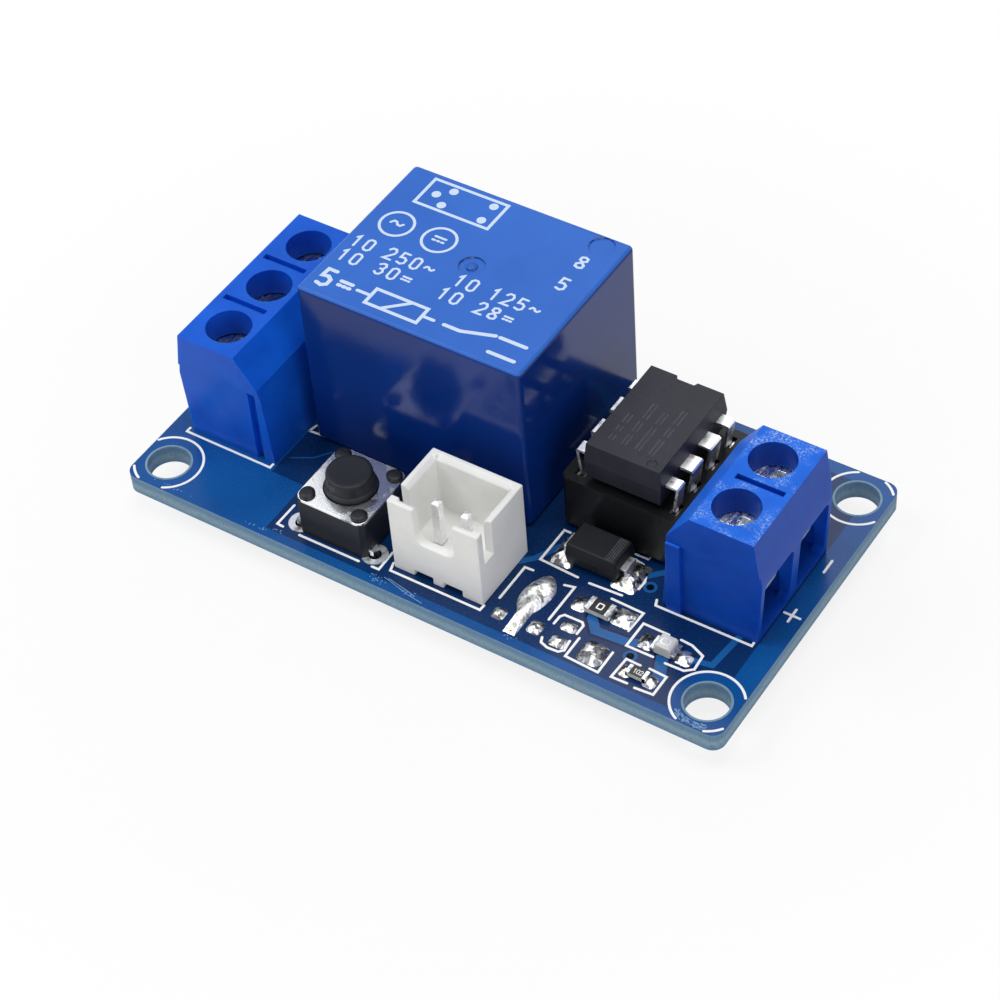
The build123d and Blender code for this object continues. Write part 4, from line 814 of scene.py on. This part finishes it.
def bars(paths, width):
    """Printed lines on the relay's top."""
    return stacked([(path, width) for path in paths], RELAY_TOP - SINK, RELAY_TOP + 0.005)


relay_marks = figures("5=", -14.1, -2.2, 1.7, 0.32, step=0.95)
relay_marks += figures("5", 1.3, 5.6, 1.2, 0.2) + figures("8", 1.3, 8.2, 1.2, 0.2)
for text, x, y in (("10 250~  10 125~", -14.25, 2.4), ("10", -14.25, 0.7), ("30=", -11.0, 0.7),
                   ("10", -5.6, 0.7), ("28=", -2.4, 0.7)):
    relay_marks += figures(text, x, y, 1.15, 0.19, step=0.96)
# Coil between two terminals, and the changeover contact beside it
relay_marks += bars([[(-9.6, -2.2), (-5.2, -2.2), (-5.2, -0.6), (-9.6, -0.6), (-9.6, -2.2)],
                     [(-8.3, -2.2), (-6.5, -0.6)], [(-10.8, -1.4), (-9.6, -1.4)],
                     [(-5.2, -1.4), (-4.2, -1.4)]], 0.28)
relay_marks += bars([[(-3.4, -1.4), (-2.0, -1.4)], [(-2.0, -1.4), (0.5, -0.6)],
                     [(0.8, -0.6), (3.0, -0.6)], [(0.8, -2.2), (3.0, -2.2)]], 0.32)
# Pin plan at the back: the relay seen from below as a frame with its five pins
relay_marks += bars([[(-12.6, 8.6), (-6.2, 8.6), (-6.2, 11.5), (-12.6, 11.5), (-12.6, 8.6)]], 0.26)
relay_marks += [flat_ring(x, y, 0.02, 0.36, RELAY_TOP - SINK, RELAY_TOP + 0.008, 20)
                for x, y in [(-11.6, 10.05), (-10.6, 10.9), (-10.6, 9.2), (-7.1, 10.9), (-7.1, 9.2)]]
# Alternating and direct current signs, each in a ring
for x, sign in ((-12.3, "~"), (-8.6, "=")):
    relay_marks.append(ribbon(arc(x, 5.9, 1.3, 0, 360, 41), 0.22, RELAY_TOP - SINK, RELAY_TOP + 0.008))
    relay_marks += figures(sign, x - 0.62, 5.2, 1.55, 0.2)
make("relay_print", joined(relay_marks), RELAY_INK)

paint(["relay_base"], RELAY_BASE)
paint(["relay_bobbin"], BOBBIN)
paint(["relay_coil"], WINDING)
paint(["relay_core", "relay_yoke", "relay_armature"], IRON)
paint(["relay_contact_blade", "relay_normally_open_contact", "relay_normally_closed_contact",
       "relay_hinge_spring"], BRONZE)
paint(["relay_common_pin", "relay_coil_pins"], TIN)


# Screw terminal blocks

dressed("output_terminal_housing", [OUTPUT_BLUE], edge=0.12)
# The two-way block's upward faces high up take the paler blue: painted light on its top, with rubbed specks
dressed("power_terminal_housing", [POWER_BLUE, RUBBED_LIT_BLUE], edge=0.12,
        choose=lambda normals, middles: (normals[:, 2] > 0.3) & (middles[:, 2] > 7.5))
paint(["output_terminal_pins", "power_terminal_pins"], TIN)

SCREW_TIP, HEAD_LOW = 5.15, 8.05
THREAD_PITCH, THREAD_DEPTH, SCREW_RADIUS = 0.5, 0.18, 1.24


def thread(x, y, low, high):
    """A screw thread: radius falls from the crest by the depth times how far the place is from the
    nearest crest, where crests climb one pitch for each turn; the ends run in to the axis."""
    rows, around = 61, 24
    height = np.linspace(low, high, rows)[:, None]
    climb = (height - low) / THREAD_PITCH - np.arange(around) / around
    away = np.abs(climb - np.round(climb)) * 2
    radius = SCREW_RADIUS - THREAD_DEPTH * away
    radius = radius * np.clip((height - low) / 0.25 + 0.75, 0, 1)
    ends = ((1, 1), (0, 0))
    return hoops((x, y), np.pad(radius, ends), np.pad(height, ends, mode="edge"))


# Each block's screws take their painted tone: painted light on the two-way block, painted shade on the
# three-way block
for block_name, x, poles, painted_zinc in (("output", -20.6, POLES_OUTPUT, ZINC_PAINTED_SHADE),
                                      ("power", 20.6, POLES_POWER, ZINC_PAINTED_BRIGHT)):
    for number, y in enumerate(poles, start=1):
        screw = f"{block_name}_screw_{number}"
        head = dressed(screw, [painted_zinc], edge=0.07, sharp=35,
                       keep=lambda middle: middle[2] > HEAD_LOW - 0.02)
        make(screw + "_thread", thread(x, y, SCREW_TIP, HEAD_LOW), painted_zinc,
             body=body_of(head)[0], smooth=60)
        dressed(f"{block_name}_clamp_{number}", [CLAMP_STEEL], edge=0.08)


# Push button

dressed("button_housing", [BUTTON_BLACK], edge=0.08)
dressed("button_cover_plate", [PLATE_STEEL], edge=0.06)
paint(["button_snap_dome"], PLATE_STEEL)
paint(["button_legs"], TIN)

# Melted heads of the four stakes, in heights over the cover plate's top
PLATE_TOP, STAKE_REACH = 5.15, 2.275
head_profile = [(0, -0.2), (0.5, -0.2), (0.53, 0.02), (0.6, 0.05), (0.62, 0.14), (0.56, 0.23), (0.4, 0.29),
                (0.2, 0.315), (0, 0.32)]
head_profile = np.add(head_profile, (0, PLATE_TOP))
stakes = [(BUTTON[0] + sx * STAKE_REACH, BUTTON[1] + sy * STAKE_REACH, sx + sy)
          for sx in (-1, 1) for sy in (-1, 1)]
make("button_stake_heads",
     joined([spun(head_profile, (x, y), 28, ripple=0.03, phase=phase) for x, y, phase in stakes]),
     BUTTON_BLACK, smooth=60)

# The plunger: flange under the cover, a step, a straight wall, a rounded rim and a shallow dish
plunger_profile = [(0, 4.39), (2.25, 4.39), (2.25, 4.84), (1.97, 4.86), (1.95, 5.45), (1.9, 5.5),
                   (1.77, 5.58), (1.75, 5.64), (1.745, 6.46), (1.715, 6.56), (1.65, 6.62), (1.56, 6.645),
                   (1.45, 6.648), (1.3, 6.64), (0.9, 6.61), (0.45, 6.595), (0, 6.59)]
plunger = make("button_plunger_detail", spun(plunger_profile, BUTTON, 64), PLUNGER_BLACK,
               body="button", smooth=32)
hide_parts("button_plunger")


# Header

dressed("header_housing", [NYLON], edge=0.1)
dressed("header_pins", [LEAD_TIN], edge=0.04)


# Chip, socket and the small transistor under them

dressed("chip_body", [CHIP_EPOXY], edge=0.09)
dressed("chip_leads", [LEAD_TIN], edge=0.03)
dressed("chip_socket_body", [SOCKET_BLACK], edge=0.08)
paint(["chip_socket_contacts"], TIN)
paint(["transistor_body"], CHIP_EPOXY)
paint(["transistor_leads"], LEAD_TIN)

# Faint laser-marked bars across the chip, in place of its type
CHIP_TOP = 10.5
chip_bars = []
for offset, lengths in ((-1.55, (1.6, 0.9, 1.4)), (-0.45, (2.4, 1.2)), (0.65, (1.0, 1.0, 1.6)),
                        (1.7, (0.5, 0.5, 0.9))):
    y = 0.0
    for length in lengths:
        for x in (10.74 - offset, 11.06 - offset):
            chip_bars.append(ribbon([(x, y), (x, y + length)], 0.13, CHIP_TOP - 0.004, CHIP_TOP + 0.004))
        y += length + 0.45
make("chip_marks", joined(chip_bars), LASER_MARK)


# Power diode, resistors and lamp

dressed("diode_body", [DIODE_EPOXY], edge=0.1)
dressed("diode_leads", [LEAD_TIN], edge=0.03)
DIODE_TOP = 3.8
make("diode_band",
     joined([ribbon([(x, -4.85), (x, -2.55)], 0.1, DIODE_TOP - 0.004, DIODE_TOP + 0.006, soft_ends=False)
             for x in (11.42, 11.6, 11.78, 11.96)]),
     LASER_MARK)

# Only the resistors' tops are glazed
dressed("resistor_bodies", [RESISTOR_GLAZE, ALUMINA],
        choose=lambda normals, middles: normals[:, 2] <= 0.5)
dressed("resistor_terminals", [TIN], edge=0.04)
RESISTOR_TOP, SMALL_RESISTOR_TOP = 2.13, 2.08
zero = rounded_box(12.65, -7.6, 0.42, 0.5, 0.08, 24)
value_print = [ribbon(zero, 0.11, RESISTOR_TOP - 0.004, RESISTOR_TOP + 0.008, closed=True)]
value_print += figures("102", 17.6, -11.57, 0.36, 0.05, step=0.72, level=SMALL_RESISTOR_TOP)
make("resistor_print", joined(value_print), SILK)

paint(["led_base"], ALUMINA)
dressed("led_lens", [LENS], edge=0.06)
LENS_TOP = 2.53
cup_rim = rounded_box(18.45, -8.4, 0.66, 0.5, 0.14, 24)
make("lamp_cup", ribbon(cup_rim, 0.07, LENS_TOP - 0.004, LENS_TOP + 0.004, closed=True), LEAD_TIN)
dressed("led_terminals", [TIN], edge=0.04)


# Camera

place = Vector(CAMERA_PLACE) * MM
aim = Vector(CAMERA_AIM) * MM
camera_data = bpy.data.cameras.new("camera")
camera_data.lens = CAMERA_LENS
camera_data.sensor_width = 36
camera_data.clip_start = 0.01
camera = put("camera", camera_data)
look = (aim - place).to_track_quat("-Z", "Y").to_matrix()
roll = Matrix.Rotation(math.radians(CAMERA_ROLL), 3, "Z")
camera.matrix_world = Matrix.Translation(place) @ (look @ roll).to_4x4()
bpy.context.scene.camera = camera


# Light: each soft box is set by the share of full daylight that it puts on the object

def softbox(name, spot, size, share):
    """A square lamp aimed at the board. A flat lamp of P watts puts P over pi d squared on a face at
    distance d, and pi of that is what shows a colour as written, so P is share pi squared d squared."""
    lamp = bpy.data.lights.new(name, "AREA")
    lamp.size = size
    place = Vector(spot)
    lamp.energy = share * math.pi ** 2 * place.length_squared
    put(name, lamp).matrix_world = Matrix.LocRotScale(place, (-place).to_track_quat("-Z", "Y"), None)


softbox("key_softbox", (-0.28, -0.15, 0.42), 0.24, 0.40)
softbox("top_softbox", (0.06, 0.02, 0.55), 0.22, 0.34)
softbox("back_softbox", (-0.10, 0.34, 0.42), 0.24, 0.13)
softbox("front_softbox", (0.10, -0.55, 0.16), 0.40, 0.10)
softbox("right_softbox", (0.50, -0.20, 0.26), 0.36, 0.18)


def looked_at(add):
    """1 for rays from the camera, off glossy faces and through clear ones, 0 for the light on a face."""
    seen, glossy, clear = (add("LightPath", out=f"Is {kind} Ray")
                           for kind in ("Camera", "Glossy", "Transmission"))
    either = add("Math", [seen, glossy], operation="MAXIMUM")
    return add("Math", [either, clear], operation="MAXIMUM")


AMBIENT = 0.17
WHITE = (1, 1, 1, 1)
world = bpy.data.worlds.new("studio")
bpy.context.scene.world = world
world.use_nodes = True
world.node_tree.nodes.clear()
add = functools.partial(add_node, world.node_tree)
dim = add("Background", {"Color": WHITE, "Strength": AMBIENT})
white = add("Background", {"Color": WHITE, "Strength": 1.0})
add("OutputWorld", {"Surface": add("MixShader", [looked_at(add), dim, white])})

# Floor: pale paper that keeps the shadow near the board and is plain white to the camera further out
HALF_FLOOR = 0.6
floor_mesh = bpy.data.meshes.new("floor")
floor_corners = [(sx * HALF_FLOOR, sy * HALF_FLOOR, FLOOR * MM)
                 for sx, sy in ((-1, -1), (1, -1), (1, 1), (-1, 1))]
floor_mesh.from_pydata(floor_corners, [], [(0, 1, 2, 3)])
floor = put("floor", floor_mesh)
paper, add, where = blank("white_backdrop_paper")
tone = add("Mix", {0: add("TexNoise", sized(where, 1.5, Detail=4.0)), 6: "#f6f6f5", 7: "#f1f1f0"}, **COLOURS)
matt = add("BsdfDiffuse", {"Color": tone})
glow = add("Emission", {"Color": WHITE, "Strength": 1.0})
far = add("VectorMath", [where], out="Value", operation="LENGTH")
spread = add("MapRange", [far, 0.028, 0.06, 0.85, 1.0], interpolation_type="SMOOTHSTEP")
share = add("Math", [looked_at(add), spread], operation="MULTIPLY")
seen_above = add("MixShader", [share, matt, glow])
# Seen from below the paper is clear, so that the underside can be looked at
below = add("NewGeometry", out="Backfacing")
add("OutputMaterial", {"Surface": add("MixShader", [below, seen_above, add("BsdfTransparent")])})
floor_mesh.materials.append(paper)

bpy.context.scene.view_settings.view_transform = "Standard"
